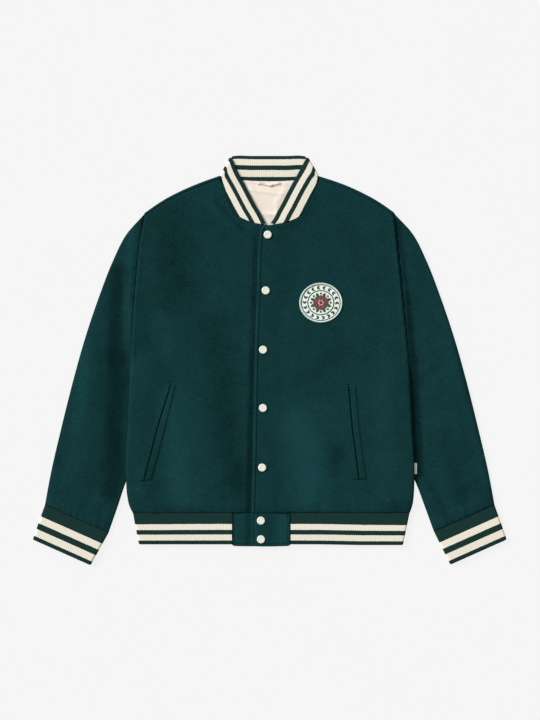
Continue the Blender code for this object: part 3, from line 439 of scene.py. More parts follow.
def mirrored(points, side):
    return [(-side * x, y) for x, y in points]


def shoulder_line(side):
    start = (NECK_X + side * NECK_POINT[0], NECK_POINT[1])
    return Line([start] + mirrored(SHOULDER, side) + [SHOULDER_POINT[side]])


def armhole_line(side, top):
    column = 1 if side < 0 else 2
    return Line([(side * row[column], row[0]) for row in ARMHOLE] + [tuple(top)])


def side_line(side):
    return Line(mirrored(BODY_SIDE[side], side))


def hump(away, reach):
    """Return 1 on the line, falling softly to 0 at its reach."""
    return 0.5 + 0.5 * np.cos(np.pi * np.clip(away / reach, 0.0, 1.0))


def smooth(share):
    """Return 0 before a stretch, 1 after it, and a soft step between."""
    share = np.clip(share, 0.0, 1.0)
    return share * share * (3 - 2 * share)


def rounding(away, width):
    """Return 1 at an edge, falling to 0 at a width as a round edge falls away."""
    return np.clip(1 - away / width, 0.0, 1.0) ** 2


def seam_dip(away, depth, width):
    """Return how far the cloth is drawn down at a distance from a seam."""
    return -depth * np.exp(-away / width)


def blouse(away, height, width):
    """Return how the cloth bulges over a band, highest at a width from its seam."""
    return height * (away / width) * np.exp(1.0 - away / width)


def puckers(away, along, height, width, pitch):
    """Return small waves along a seam, which fade away from it."""
    return height * np.exp(-away / width) * ripple(along, pitch)


def along_row(x, y, row):
    """Return each place's share of the way along a straight row, and its distance from it."""
    start_x, start_y, end_x, end_y = row[:4]
    run_x, run_y = end_x - start_x, end_y - start_y
    share = ((x - start_x) * run_x + (y - start_y) * run_y) / (run_x ** 2 + run_y ** 2)
    held = np.clip(share, 0.0, 1.0)
    return held, np.hypot(x - start_x - held * run_x, y - start_y - held * run_y)


def creases(x, y, rows):
    """Add up soft ridges and troughs, whose lines waver and which fade towards their ends."""
    warped_x = x + 4.0 * np.sin(y / 23.0) + 2.0 * np.sin(y / 9.0 + x / 31.0)
    warped_y = y + 4.0 * np.sin(x / 27.0 + 0.8)
    total = np.zeros_like(x)
    for row in rows:
        held, away = along_row(warped_x, warped_y, row)
        reach, height = row[4:]
        total += height * (0.4 + 0.6 * np.sin(np.pi * held)) * hump(away, reach)
    return total * sizes().crease_depth


def nap(x, y, rows):
    """Add up painted light and shade, partly where the nap catches the light, from -1 to 1."""
    total = np.zeros_like(x)
    for row in rows:
        reach, share = row[4:]
        total += share * hump(along_row(x, y, row)[1], reach)
    return total


def ripple(along, pitch):
    """Return uneven waves along a seam, from -1 to 1."""
    return 0.6 * np.sin(math.tau * along / pitch + 1.7 * np.sin(along / (2.3 * pitch))) \
        + 0.4 * np.sin(math.tau * along / (1.63 * pitch) + 0.9)


def undulation(x, y):
    """Return the gentle unevenness of heavy cloth that lies flat."""
    wide = np.sin(x / 37.0 + 0.4 * np.sin(y / 29.0)) * np.sin(y / 43.0 + 0.9)
    narrow = np.sin(x / 17.0 + y / 31.0 + 1.1) * np.sin(y / 21.0 - x / 47.0)
    return (0.28 * wide + 0.16 * narrow) * sizes().crease_depth


def neighbours(field, **padding):
    """Return the fields of the values below, above, before and after each value."""
    wide = np.pad(field, 1, **padding)
    return wide[:-2, 1:-1], wide[2:, 1:-1], wide[1:-1, :-2], wide[1:-1, 2:]


def soften(field, passes):
    for _ in range(passes):
        below, above, before, after = neighbours(field, mode="edge")
        field = (4 * field + below + above + before + after) / 8
    return field


def coons(bottom, top, left, right, across, up):
    """Fill four border lists with a grid of points, at the given shares across and up."""
    u, v = across[None, :, None], up[:, None, None]
    edges = bottom[None] * (1 - v) + top[None] * v + left[:, None] * (1 - u) + right[:, None] * u
    corners = (bottom[0] * (1 - u) * (1 - v) + bottom[-1] * u * (1 - v)
               + top[0] * (1 - u) * v + top[-1] * u * v)
    return edges - corners


def stretch(distances, step):
    """Fill a list of distances with even steps, and return shares of the last one."""
    places = [distances[0]]
    for low, high in zip(distances, distances[1:]):
        count = max(round((high - low) / step), 1)
        places += [low + (high - low) * k / count for k in range(1, count + 1)]
    return np.array(places) / distances[-1]


class Solid:
    """A node of the frame, or a finished piece, whose surface is read from above or below."""

    def __init__(self, name):
        mesh = (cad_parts.get(name) or bpy.data.objects[name]).data
        points = np.zeros(len(mesh.vertices) * 3)
        mesh.vertices.foreach_get("co", points)
        faces = [tuple(face.vertices) for face in mesh.polygons]
        self.tree = BVHTree.FromPolygons((points.reshape(-1, 3) / MM).tolist(), faces)

    def hit(self, x, y, below=False):
        """Return the height of the surface at one place, or None beside it."""
        start, way = (LOOK_UP_FROM, 1.0) if below else (LOOK_DOWN_FROM, -1.0)
        found = self.tree.ray_cast(Vector((x, y, start)), Vector((0.0, 0.0, way)))[0]
        return found.z if found else None

    def height(self, x, y, below=False):
        """Return the heights at a grid of places, filling misses at the rim from their neighbours."""
        out = np.full(x.shape, np.nan)
        for index in np.ndindex(x.shape):
            found = self.hit(x[index], y[index], below)
            if found is not None:
                out[index] = found
        while np.isnan(out).any():
            near = np.stack(neighbours(out, constant_values=np.nan))
            known = ~np.isnan(near)
            mean = np.where(known, near, 0.0).sum(axis=0) / np.maximum(known.sum(axis=0), 1)
            out = np.where(np.isnan(out) & known.any(axis=0), mean, out)
        return out


def at_rim(heights, left, right, low, high):
    """Give the border rows and columns the heights found a little way in, past the rounded edge."""
    heights[:, :left] = heights[:, left:left + 1]
    heights[:, heights.shape[1] - right:] = heights[:, -right - 1:-right]
    heights[:low] = heights[low]
    heights[heights.shape[0] - high:] = heights[-high - 1]
    return heights


# ---------------------------------------------------------------- meshes

def grid_mesh(points, cut, wrap=False, nap_and_shade_field=None):
    """Bend a grid over an array of points, row by row, with its place on the flat cut as its UV map.

    The painted light and shade at each point, partly from how the nap lies, is kept in a float attribute
    that the wool's material reads by name.
    """
    rows, columns = points.shape[:2]
    mesh = bmesh.new()
    bmesh.ops.create_grid(mesh, x_segments=columns - 1, y_segments=rows - 1, size=0.5, calc_uvs=True)
    layer = mesh.loops.layers.uv.active or mesh.loops.layers.uv.new("cut")
    nap_and_shade_layer = mesh.verts.layers.float.new("nap") if nap_and_shade_field is not None else None
    for vert in mesh.verts:
        i = round((vert.co.x + 0.5) * (columns - 1))
        j = round((vert.co.y + 0.5) * (rows - 1))
        for loop in vert.link_loops:
            loop[layer].uv = cut[j, i] * MM
        vert.co = points[j, i] * MM
        if nap_and_shade_layer is not None:
            vert[nap_and_shade_layer] = nap_and_shade_field[j, i]
    if wrap:
        bmesh.ops.remove_doubles(mesh, verts=mesh.verts, dist=0.00001)
    return mesh


def face_outwards(mesh, outside):
    """Turn the faces so that an upper, lower or rounded sheet shows its outer side."""
    mesh.normal_update()
    if outside == "round":
        wrong = max(mesh.faces, key=lambda face: face.calc_center_median().z).normal.z < 0
    else:
        total = sum(face.normal.z * face.calc_area() for face in mesh.faces)
        wrong = (total < 0) == (outside == "up")
    if wrong:
        bmesh.ops.reverse_faces(mesh, faces=mesh.faces)


def mesh_data(mesh, name):
    """Turn a finished bmesh into mesh data and free it."""
    data = bpy.data.meshes.new(name)
    mesh.to_mesh(data)
    mesh.free()
    return data


def finish_piece(mesh, name, nodes, material, sharp=50):
    """Turn a finished bmesh into a piece that stands for its nodes of the frame."""
    data = mesh_data(mesh, name)
    data.materials.append(material)
    data.shade_smooth()
    data.set_sharp_from_angle(angle=math.radians(sharp))
    piece = bpy.data.objects.new(name, data)
    bpy.context.scene.collection.objects.link(piece)
    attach(piece, BODY)
    if nodes:
        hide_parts(*nodes)
    return piece


def cloth(name, nodes, points, cut, wall, material, outside, wrap=False, nap_and_shade_field=None):
    """Make a sheet of cloth with a wall below or inside its outer face."""
    mesh = grid_mesh(points, cut, wrap, nap_and_shade_field)
    face_outwards(mesh, outside)
    piece = finish_piece(mesh, name, nodes, material)
    shell = piece.modifiers.new("wall", "SOLIDIFY")
    shell.thickness = wall * MM
    shell.offset = -1.0
    return piece


def cut_area(cut):
    """Return the area of a flat cut in square millimetres, cell by cell."""
    first = cut[1:, 1:] - cut[:-1, :-1]
    second = cut[1:, :-1] - cut[:-1, 1:]
    return 0.5 * np.abs(first[..., 0] * second[..., 1] - first[..., 1] * second[..., 0]).sum()


def declare(cut, leaves=None):
    """Work out the size that a sheet was cut to, from its flat cut or from leaves that are cut as one; the
    size is neither kept nor stated.
    """
    flat = (cut.reshape(-1, 2).max(axis=0) - cut.reshape(-1, 2).min(axis=0)) * MM
    area = sum(cut_area(leaf) for leaf in leaves or [cut]) * MM * MM
    area = min(area, flat[0] * flat[1])


# ---------------------------------------------------------------- materials

def fill_node(tree, node, settings=None, links=None):
    """Set a node's inputs or its own options, and link its inputs to other nodes' outputs."""
    for key, value in (settings or {}).items():
        if isinstance(key, int) or key in node.inputs:
            node.inputs[key].default_value = value
        else:
            setattr(node, key, value)
    for key, source in (links or {}).items():
        tree.links.new(source, node.inputs[key])
    return node


def add_node(tree, kind, settings=None, links=None):
    """Add a node with its settings and links."""
    return fill_node(tree, tree.nodes.new(kind), settings, links)


def rgba(colour, factor=1.0):
    return [channel * factor for channel in colour] + [1.0]


def named_material(build):
    """Turn a function that adds a material's nodes into one that makes the material of a name, once.

    The function returns the output for the colour, the height, strength and distance of each bump, and
    the values of the shader's own sockets.
    """
    @functools.wraps(build)
    def make(name, *settings, **options):
        if name in bpy.data.materials:
            return bpy.data.materials[name]
        made = bpy.data.materials.new(name)
        made.use_nodes = True
        tree = made.node_tree
        colour, bumps, values = build(tree, *settings, **options)
        links = {"Base Color": colour}
        for height, strength, distance in bumps:
            below = {"Normal": links["Normal"]} if "Normal" in links else {}
            bump = add_node(tree, "ShaderNodeBump", {"Strength": strength, "Distance": distance},
                            {"Height": height, **below})
            links["Normal"] = bump.outputs["Normal"]
        fill_node(tree, tree.nodes["Principled BSDF"], values, links)
        return made
    return make


@named_material
def melton_wool(tree, colour, light):
    """Felted melton wool: a milled nap with a fine grain, with painted light and shade in areas, partly
    where the nap lies one way or the other.
    """
    place = add_node(tree, "ShaderNodeTexCoord").outputs["Object"]
    cloud = add_node(tree, "ShaderNodeTexNoise", {"Scale": 38.0, "Detail": 5.0, "Roughness": 0.6},
                     {"Vector": place}).outputs["Fac"]
    # The nap's tufts are under a millimetre, and are drawn at 2 to 3 mm so that they show
    tuft = add_node(tree, "ShaderNodeTexNoise", {"Scale": 420.0, "Detail": 3.0, "Roughness": 0.75},
                    {"Vector": place}).outputs["Fac"]
    laid = add_node(tree, "ShaderNodeMapping", {"Scale": (0.3, 1.0, 1.0), "Rotation": (0.0, 0.0, 0.06)},
                    {"Vector": place}).outputs["Vector"]
    fibre = add_node(tree, "ShaderNodeTexNoise", {"Scale": 560.0, "Detail": 2.0, "Roughness": 0.6},
                     {"Vector": laid}).outputs["Fac"]
    grain = add_node(tree, "ShaderNodeMix", {0: 0.45}, {2: tuft, 3: fibre}).outputs[0]
    both = add_node(tree, "ShaderNodeMix", {0: 0.8}, {2: cloud, 3: grain}).outputs[0]
    spread = add_node(tree, "ShaderNodeMapRange", {"From Min": 0.3, "From Max": 0.7}, {"Value": both})
    # The colour moves to its painted-shade or painted-light end with the field of painted light and shade,
    # which is partly the nap's
    nap_and_shade_field = add_node(tree, "ShaderNodeAttribute", {"attribute_name": "nap"}).outputs["Fac"]
    share = add_node(tree, "ShaderNodeMath", {"operation": "ADD", "use_clamp": True},
                     {0: spread.outputs["Result"], 1: nap_and_shade_field}).outputs[0]
    mixed = add_node(tree, "ShaderNodeMix", {"data_type": "RGBA", 6: rgba(colour), 7: rgba(light)},
                     {0: share}).outputs[2]
    return mixed, [(grain, 0.6, 0.0006), (cloud, 0.2, 0.0016)], {
        "Roughness": 0.95, "Specular IOR Level": 0.02, "Sheen Weight": 0.05, "Sheen Roughness": 0.45,
        "Sheen Tint": rgba(linear("#5f9a98"))}


@named_material
def rib_knit(tree, stripes):
    """Rib knit in wool blend yarn: stripes run round it, and each rib is a column of small stitches."""
    cut = add_node(tree, "ShaderNodeTexCoord").outputs["UV"]
    axes = add_node(tree, "ShaderNodeSeparateXYZ", None, {0: cut})
    ribs = add_node(tree, "ShaderNodeMath", {"operation": "DIVIDE", 1: sizes().rib_pitch},
                    {0: axes.outputs[0]}).outputs[0]
    turn = add_node(tree, "ShaderNodeMath", {"operation": "MULTIPLY", 1: math.tau}, {0: ribs}).outputs[0]
    wave = add_node(tree, "ShaderNodeMath", {"operation": "COSINE"}, {0: turn}).outputs[0]
    # A course of stitches is about 1.3 mm high, drawn at 2 mm so that it shows
    course = add_node(tree, "ShaderNodeMath", {"operation": "DIVIDE", 1: 0.002},
                      {0: axes.outputs[1]}).outputs[0]
    slope = add_node(tree, "ShaderNodeMath", {"operation": "PINGPONG", 1: 0.5}, {0: ribs}).outputs[0]
    chevron = add_node(tree, "ShaderNodeMath", {"operation": "MULTIPLY_ADD", 1: 0.55},
                       {0: slope, 2: course}).outputs[0]
    turned = add_node(tree, "ShaderNodeMath", {"operation": "MULTIPLY", 1: math.tau}, {0: chevron})
    stitch = add_node(tree, "ShaderNodeMath", {"operation": "SINE"}, {0: turned.outputs[0]}).outputs[0]
    fuzz, drift = (add_node(tree, "ShaderNodeTexNoise", {"Scale": scale, "Detail": detail},
                            {"Vector": cut}).outputs["Fac"] for scale, detail in ((900.0, 2.0), (45.0, 1.0)))
    # The colours change between two courses, a little lower on a rib's crest than beside it
    shift = add_node(tree, "ShaderNodeMath", {"operation": "MULTIPLY_ADD", 1: 0.0001},
                     {0: wave, 2: axes.outputs[1]}).outputs[0]
    moved = add_node(tree, "ShaderNodeMath", {"operation": "MULTIPLY_ADD", 1: 0.0007},
                     {0: drift, 2: shift}).outputs[0]
    share = add_node(tree, "ShaderNodeMath", {"operation": "DIVIDE", 1: KNIT_WIDTH * MM}, {0: moved})
    ramp = add_node(tree, "ShaderNodeValToRGB", None, {0: share.outputs[0]})
    ramp.color_ramp.interpolation = "CONSTANT"
    green, cream = rgba(colours().rib), rgba(colours().stripe)
    green[3] = 0.0
    ramp.color_ramp.elements[0].color = green
    ramp.color_ramp.elements.remove(ramp.color_ramp.elements[1])
    for border, colour in zip(np.cumsum(stripes), (cream, green, cream, green)):
        ramp.color_ramp.elements.new(border / KNIT_WIDTH).color = colour
    # Valleys between ribs are darkened with painted shade, strongly in the dark yarn and hardly in the cream
    # one, whose alpha is 1
    dark, pale = (add_node(tree, "ShaderNodeMapRange", {"From Min": -1.0, "To Min": low, "To Max": high},
                           {"Value": wave}).outputs["Result"] for low, high in ((0.76, 1.1), (0.96, 1.01)))
    valley_shade = add_node(tree, "ShaderNodeMix", None, {0: ramp.outputs["Alpha"], 2: dark, 3: pale}).outputs[0]
    worn = add_node(tree, "ShaderNodeMapRange", {"To Min": 0.93, "To Max": 1.05}, {"Value": fuzz})
    shade = add_node(tree, "ShaderNodeMath", {"operation": "MULTIPLY"},
                     {0: valley_shade, 1: worn.outputs["Result"]}).outputs[0]
    mixed = add_node(tree, "ShaderNodeMix", {"data_type": "RGBA", "blend_type": "MULTIPLY", 0: 1.0},
                     {6: ramp.outputs["Color"], 7: shade}).outputs[2]
    return mixed, [(stitch, 0.14, 0.0004), (fuzz, 0.2, 0.0003)], {
        "Roughness": 0.88, "Specular IOR Level": 0.04, "Sheen Weight": 0.03}


@named_material
def satin(tree, colour):
    """Polyester satin: long floats give it a soft gloss across fine diagonal lines."""
    place = add_node(tree, "ShaderNodeTexCoord").outputs["Object"]
    # The twill lines are 0.3 mm apart, drawn at 1 mm so that they show
    lines = add_node(tree, "ShaderNodeTexWave",
                     {"Scale": 160.0, "Distortion": 1.5, "bands_direction": "DIAGONAL"},
                     {"Vector": place}).outputs["Fac"]
    drift = add_node(tree, "ShaderNodeTexNoise", {"Scale": 60.0, "Detail": 3.0},
                     {"Vector": place}).outputs["Fac"]
    mixed = add_node(tree, "ShaderNodeMix", {"data_type": "RGBA", 6: rgba(colour, 0.93), 7: rgba(colour)},
                     {0: drift}).outputs[2]
    return mixed, [(lines, 0.2, 0.0002)], {"Roughness": 0.42, "Specular IOR Level": 0.4}


@named_material
def laid_thread(tree, colour, spacing, gloss):
    """Threads side by side: rayon ones are glossy, and polyester sewing thread is duller."""
    cut = add_node(tree, "ShaderNodeTexCoord").outputs["UV"]
    axes = add_node(tree, "ShaderNodeSeparateXYZ", None, {0: cut})
    # Embroidery threads lie about 0.4 mm apart, drawn at 0.9 mm so that they show
    turns = add_node(tree, "ShaderNodeMath", {"operation": "MULTIPLY", 1: math.tau / (spacing * MM)},
                     {0: axes.outputs[0]}).outputs[0]
    wave = add_node(tree, "ShaderNodeMath", {"operation": "SINE"}, {0: turns}).outputs[0]
    patchy = add_node(tree, "ShaderNodeTexNoise", {"Scale": 700.0, "Detail": 1.0},
                      {"Vector": cut}).outputs["Fac"]
    level = add_node(tree, "ShaderNodeMapRange", {"From Min": -1.0, "To Min": 0.25, "To Max": 0.75},
                     {"Value": wave}).outputs["Result"]
    share = add_node(tree, "ShaderNodeMath", {"operation": "MULTIPLY_ADD", 1: 0.5},
                     {0: patchy, 2: level}).outputs[0]
    mixed = add_node(tree, "ShaderNodeMix",
                     {"data_type": "RGBA", 6: rgba(colour, 0.72), 7: rgba(colour, 1.08)},
                     {0: share}).outputs[2]
    return mixed, [(wave, 0.6, 0.0003)], {"Roughness": 0.8 - 0.7 * gloss, "Specular IOR Level": gloss}


@named_material
def patch_twill(tree, colour):
    """Cotton twill: matt, with fine diagonal ribs."""
    place = add_node(tree, "ShaderNodeTexCoord").outputs["Object"]
    # The twill's ribs are 0.5 mm apart, drawn at 1.2 mm so that they show
    lines = add_node(tree, "ShaderNodeTexWave",
                     {"Scale": 130.0, "Distortion": 0.6, "bands_direction": "DIAGONAL"},
                     {"Vector": place}).outputs["Fac"]
    fuzz = add_node(tree, "ShaderNodeTexNoise", {"Scale": 900.0, "Detail": 2.0},
                    {"Vector": place}).outputs["Fac"]
    share = add_node(tree, "ShaderNodeMix", {0: 0.5}, {2: lines, 3: fuzz}).outputs[0]
    mixed = add_node(tree, "ShaderNodeMix",
                     {"data_type": "RGBA", 6: rgba(colour, 0.86), 7: rgba(colour, 1.04)},
                     {0: share}).outputs[2]
    return mixed, [(lines, 0.35, 0.0003)], {"Roughness": 0.85}


@named_material
def snap_enamel(tree, colour):
    """Baked enamel on stamped brass: smooth and glossy, a little uneven where the dip pooled."""
    place = add_node(tree, "ShaderNodeTexCoord").outputs["Object"]
    pooled = add_node(tree, "ShaderNodeTexNoise", {"Scale": 260.0, "Detail": 2.0},
                      {"Vector": place}).outputs["Fac"]
    mixed = add_node(tree, "ShaderNodeMix", {"data_type": "RGBA", 6: rgba(colour, 0.9), 7: rgba(colour)},
                     {0: pooled}).outputs[2]
    return mixed, [(pooled, 0.1, 0.0002)], {"Roughness": 0.28, "Coat Weight": 0.4, "Coat Roughness": 0.12}


@named_material
def light_table(tree, colour, glow):
    """Opal acrylic of a light table: lit mostly from within, so shadows on it are faint."""
    place = add_node(tree, "ShaderNodeTexCoord").outputs["Object"]
    opal = add_node(tree, "ShaderNodeTexNoise", {"Scale": 6.0, "Detail": 1.0},
                    {"Vector": place}).outputs["Fac"]
    mixed = add_node(tree, "ShaderNodeMix",
                     {"data_type": "RGBA", 6: rgba(colour, 0.99 - glow), 7: rgba(colour, 1.0 - glow)},
                     {0: opal}).outputs[2]
    return mixed, [], {"Emission Color": rgba(colour), "Emission Strength": glow, "Roughness": 0.9,
                       "Specular IOR Level": 0.0}


def body_wool():
    return melton_wool("melton wool", colours().wool, colours().wool_light)


# ---------------------------------------------------------------- body panels

def panel_sides(side, top, step):
    """The panel's side and armhole, from the hem to top, kept clear of the sleeve."""
    lower = side_line(side).sample(round(-HEM_SEAM_Y / step))
    upper = armhole_line(side, top).sample(round(ROWS_TO_Y / step))[1:]
    return np.concatenate([lower, upper])


def collar_seam(rows, side, count):
    """Points along the seam edge of a stretch of the collar, moved off it by the seam's clear space."""
    both = Line(rows).sample(count)
    seam, free = both[:, :2], both[:, 2:]
    out = (seam - free) / np.linalg.norm(seam - free, axis=1)[:, None]
    moved = seam - out * NECK_LAP
    return np.stack([NECK_X - side * moved[:, 0], moved[:, 1]], axis=1)


def shoulder_seam(side):
    drop = size("wool_wall") + 2 * SEAM + SHOULDER_FORWARD
    return Line([(x, y - drop) for x, y in shoulder_line(side).sample(6)])


def front_neckline(side, start, end):
    seam = collar_seam(COLLAR_FRONT[side], side, 16)
    points = [tuple(point) for point in seam if point[1] < end[1] - NECK_END]
    return Line([tuple(start)] + points + [tuple(end)])


def body_relief(x, y):
    """Creases, the blousing over the hem band and the seam's gathers there."""
    above_hem = np.clip(y - HEM_SEAM_Y, 0.0, None)
    uneven = 1.0 + 0.25 * np.sin(x / 29.0) + 0.18 * np.sin(x / 11.0 + 1.0)
    gathers = blouse(above_hem, 2.1 * uneven, 15.0) + puckers(above_hem, x, 0.55, 15.0, 17.0)
    return creases(x, y, BODY_CREASES) + undulation(x, y) + gathers


def front_relief(x, y, side, seams):
    """Add what its seams and the mouth of its pocket do to a front."""
    total = body_relief(x, y)
    total -= POCKET_DEPTH * hump(Line(POCKETS[side]["mouth"]).nearest(x, y)[0], POCKET_REACH)
    for name, seam in seams.items():
        depth, width, roll, place, reach, *pucker = FRONT_SEAMS[name]
        away, along = seam.nearest(x, y)
        total += seam_dip(away, depth, width) + roll * hump(np.abs(away - place), reach)
        total += puckers(away, along, *pucker)
    return total


def front_panel(side, word, edge, near_edge):
    """One front, from its front edge to the side, hem to shoulder: plan, distance inwards, heights."""
    step = size("mesh_step")
    corner, widest = FRONT_WIDTHS[side]
    across = stretch(near_edge + [corner, widest], step)
    inwards = across * widest
    meet = corner / widest
    shoulder = shoulder_seam(side)
    sides = panel_sides(side, shoulder.at(1.0), step)
    up = np.linspace(0.0, 1.0, len(sides))
    front = edge.at(up)
    neckline = front_neckline(side, front[-1], shoulder.at(0.0))
    bottom = between(front[0], sides[0], across)
    first, second = across[across <= meet + 1e-9], across[across > meet + 1e-9]
    top = np.concatenate([neckline.at(first / meet), shoulder.at((second - meet) / (1 - meet))])
    plan = coons(bottom, top, front, sides, across, up)
    x, y = plan[..., 0], plan[..., 1]
    edge_columns = int((inwards < FRONT_ROUNDED).sum())
    heights = Solid(f"front_{word}").height(x, y)
    heights = soften(at_rim(heights, edge_columns, 1, 1, 1), PASSES["front"])
    seams = {"armhole": armhole_line(side, shoulder.at(1.0)), "side": side_line(side),
             "shoulder": shoulder, "neck": neckline}
    return plan, inwards, heights + front_relief(x, y, side, seams)


def snap_places():
    """Return the middle of each snap cap."""
    boxes = [box(f"snap_{number}") for number in range(1, SNAPS + 1)]
    return [((low + high) / 2)[:2] + SNAP_SHIFT for low, high in boxes]


def snap_dents(x, y, places, depth, reach):
    """Return how deep the cloth is pressed in round its snaps."""
    return depth * sum(hump(np.hypot(x - snap_x, y - snap_y), reach) for snap_x, snap_y in places)


class JACKET_OT_fronts(bpy.types.Operator):
    """Make both fronts, the wearer's left one on top at the placket"""
    bl_idname = "jacket.fronts"
    bl_label = "Fronts"

    def execute(self, context):
        upper_edge = Line(FRONT_EDGE)
        under_edge = Line([(x + UNDERLAP, y) for x, y in FRONT_EDGE])
        plan, _, heights = front_panel(-1, "right", under_edge, [0.0])
        x, y = plan[..., 0], plan[..., 1]
        from_placket = upper_edge.nearest(x, y)[0]
        # The under front is darker along the upper front's edge: painted shadow
        shade = nap(x, y, BODY_NAP_AND_SHADE) - 0.16 * hump(from_placket, 12.0)
        self.make("right", plan, heights - 1.3 * hump(from_placket, 15.0), shade)

        stitch = size("placket_stitch")
        near_edge = PLACKET_COLUMNS + [stitch + away for away in GROOVE_COLUMNS] + PAST_COLUMNS
        plan, inwards, heights = front_panel(1, "left", upper_edge, near_edge)
        x, y = plan[..., 0], plan[..., 1]
        in_groove = hump(np.abs(inwards - stitch), 1.7)
        heights += 0.5 * hump(np.abs(inwards - 3.6), 3.2) - 2.4 * rounding(inwards, 3.2) - 0.8 * in_groove
        heights -= snap_dents(x, y, snap_places()[:PLACKET_SNAPS], 0.5, 24.0)
        # The groove of the topstitching is darkened as well: painted shade
        self.make("left", plan, heights, nap(x, y, BODY_NAP_AND_SHADE) - 0.3 * in_groove)
        return {"FINISHED"}

    def make(self, word, plan, heights, shade):
        points = stack(plan[..., 0], plan[..., 1], heights)
        piece = cloth(f"front_{word}_wool", [f"front_{word}"], points, plan, size("wool_wall"),
                      body_wool(), "up", nap_and_shade_field=shade)
        declare(plan)


class JACKET_OT_back(bpy.types.Operator):
    """Make the back, which lies on its outer face and whose shoulders roll up and forward"""
    bl_idname = "jacket.back"
    bl_label = "Back"

    def execute(self, context):
        fold = size("wool_wall") + SEAM
        step = 1.5 * size("mesh_step")
        half = stretch([0.0, *BACK_WIDTHS], step) / 2
        across = np.concatenate([half, 1 - half[-2::-1]])
        meet = BACK_WIDTHS[0] / BACK_WIDTHS[1] / 2
        shoulders = {}
        for side, _ in SIDES:
            start = (NECK_X + side * BACK_NECK[0], BACK_NECK[1])
            shoulders[side] = Line([start] + [tuple(point) for point in shoulder_line(side).sample(6)])
        left, right = (panel_sides(side, shoulders[side].at(1.0) - (0.0, fold), step) for side, _ in SIDES)
        seam = collar_seam(COLLAR_BACK, 1, 8)
        neck = Line([(NECK_X + BACK_NECK[0], BACK_NECK[1])] + [tuple(point) for point in seam[2:]])
        top = np.zeros((len(across), 2))
        inwards = np.minimum(across, 1 - across)
        at_neck = inwards >= meet - 1e-9
        for i, share in enumerate(inwards):
            side = -1 if across[i] <= 0.5 else 1
            if at_neck[i]:
                point = neck.at((share - meet) / (0.5 - meet))
                top[i] = (NECK_X + side * (point[0] - NECK_X), point[1] - NECK_DEPTH)
            else:
                top[i] = shoulders[side].at(1 - share / meet) - (0.0, fold)
        top[0], top[-1] = left[-1], right[-1]
        plan = coons(between(left[0], right[0], across), top, left, right, across,
                     np.linspace(0.0, 1.0, len(left)))
        x, y = plan[..., 0], plan[..., 1]
        heights = Solid("back_panel").height(x, y, below=True)
        heights = soften(at_rim(heights, 1, 1, 1, 1), PASSES["back"])
        from_edge = np.minimum(smooth((y - HEM_SEAM_Y) / 20.0), smooth((270.0 - y) / 40.0))
        heights = np.clip(heights + from_edge * creases(x, y, BACK_CREASES), 0.0, None)
        rows, cut_rows = [stack(x, y, heights)], [plan]
        base_height = heights[-1] * at_neck
        for number in range(1, ROLL_STEPS + 2):
            turn = math.pi * min(number / ROLL_STEPS, 1.0)
            forward = SHOULDER_FORWARD * (number > ROLL_STEPS)
            inside = NECK_DEPTH * number / (ROLL_STEPS + 1)
            moved = np.where(at_neck, inside, fold * math.sin(turn) - forward)
            rise = np.where(at_neck, 0.0, fold - fold * math.cos(turn))
            rows.append(stack(top[:, 0], top[:, 1] + moved, base_height + rise)[None])
            run = np.where(at_neck, inside, fold * turn + forward)
            cut_rows.append(stack(top[:, 0], top[:, 1] + run)[None])
        points, cut = np.concatenate(rows), np.concatenate(cut_rows)
        piece = cloth("back_wool", ["back_panel"], points, cut, size("wool_wall"), body_wool(),
                      "down")
        declare(cut)
        return {"FINISHED"}


# ---------------------------------------------------------------- sleeves

def sleeve_plan(side, along, across):
    """Plan points at shares along the sleeve and across it, from its outer to its inner edge."""
    shoulder = SHOULDER_POINT[side]
    outer = Line([shoulder] + mirrored(SLEEVE_OUTER, side)).at(along ** SLEEVE_OUTER_PACE)
    inner = Line(mirrored(SLEEVE_INNER[side], side)).at(along ** SLEEVE_INNER_PACE)
    lap = side * SLEEVE_LAP
    lapped = armhole_line(side, shoulder).sample(10) - (lap, 0.0)
    outer[..., 0] -= lap * np.clip(1 - along / SLEEVE_LAP_OUT, 0.0, 1.0)
    full, none = SLEEVE_LAP_IN
    inner[..., 0] -= lap * np.clip((none - along) / (none - full), 0.0, 1.0)
    armhole = Line([tuple(point) for point in lapped][::-1])
    cuff = np.array(mirrored(CUFF_SEAM[side], side))
    at_cuff = between(cuff[0], cuff[1], across)
    ends = between(armhole.at(across), at_cuff, along)
    straight = between(armhole.at(np.zeros_like(across)), armhole.at(np.ones_like(across)), across)
    return ends + between(outer, inner, across) - between(straight, at_cuff, along)


def sleeve_relief(x, y, side, along, across, width):
    """Creases, cap easing, and the gathers where the sleeve blouses over its cuff."""
    from_cap, from_cuff = along * SLEEVE_RUN, (1 - along) * SLEEVE_RUN
    total = creases(x, y, SLEEVE_CREASES[side]) + undulation(x, y)
    total += seam_dip(from_cap, 1.6, 2.4) - SLEEVE_CAP_SINK[side] * hump(from_cap, 16.0)
    total += puckers(from_cap, across * width, 0.5, 16.0, 17.0)
    total += blouse(from_cuff, 1.7, 12.0) + puckers(from_cuff, across * width, 0.8, 18.0, 12.5)
    total += seam_dip(from_cuff, 0.5, 2.0)
    inwards = np.minimum(across, 1 - across) * width
    return total * smooth(inwards / 14.0)


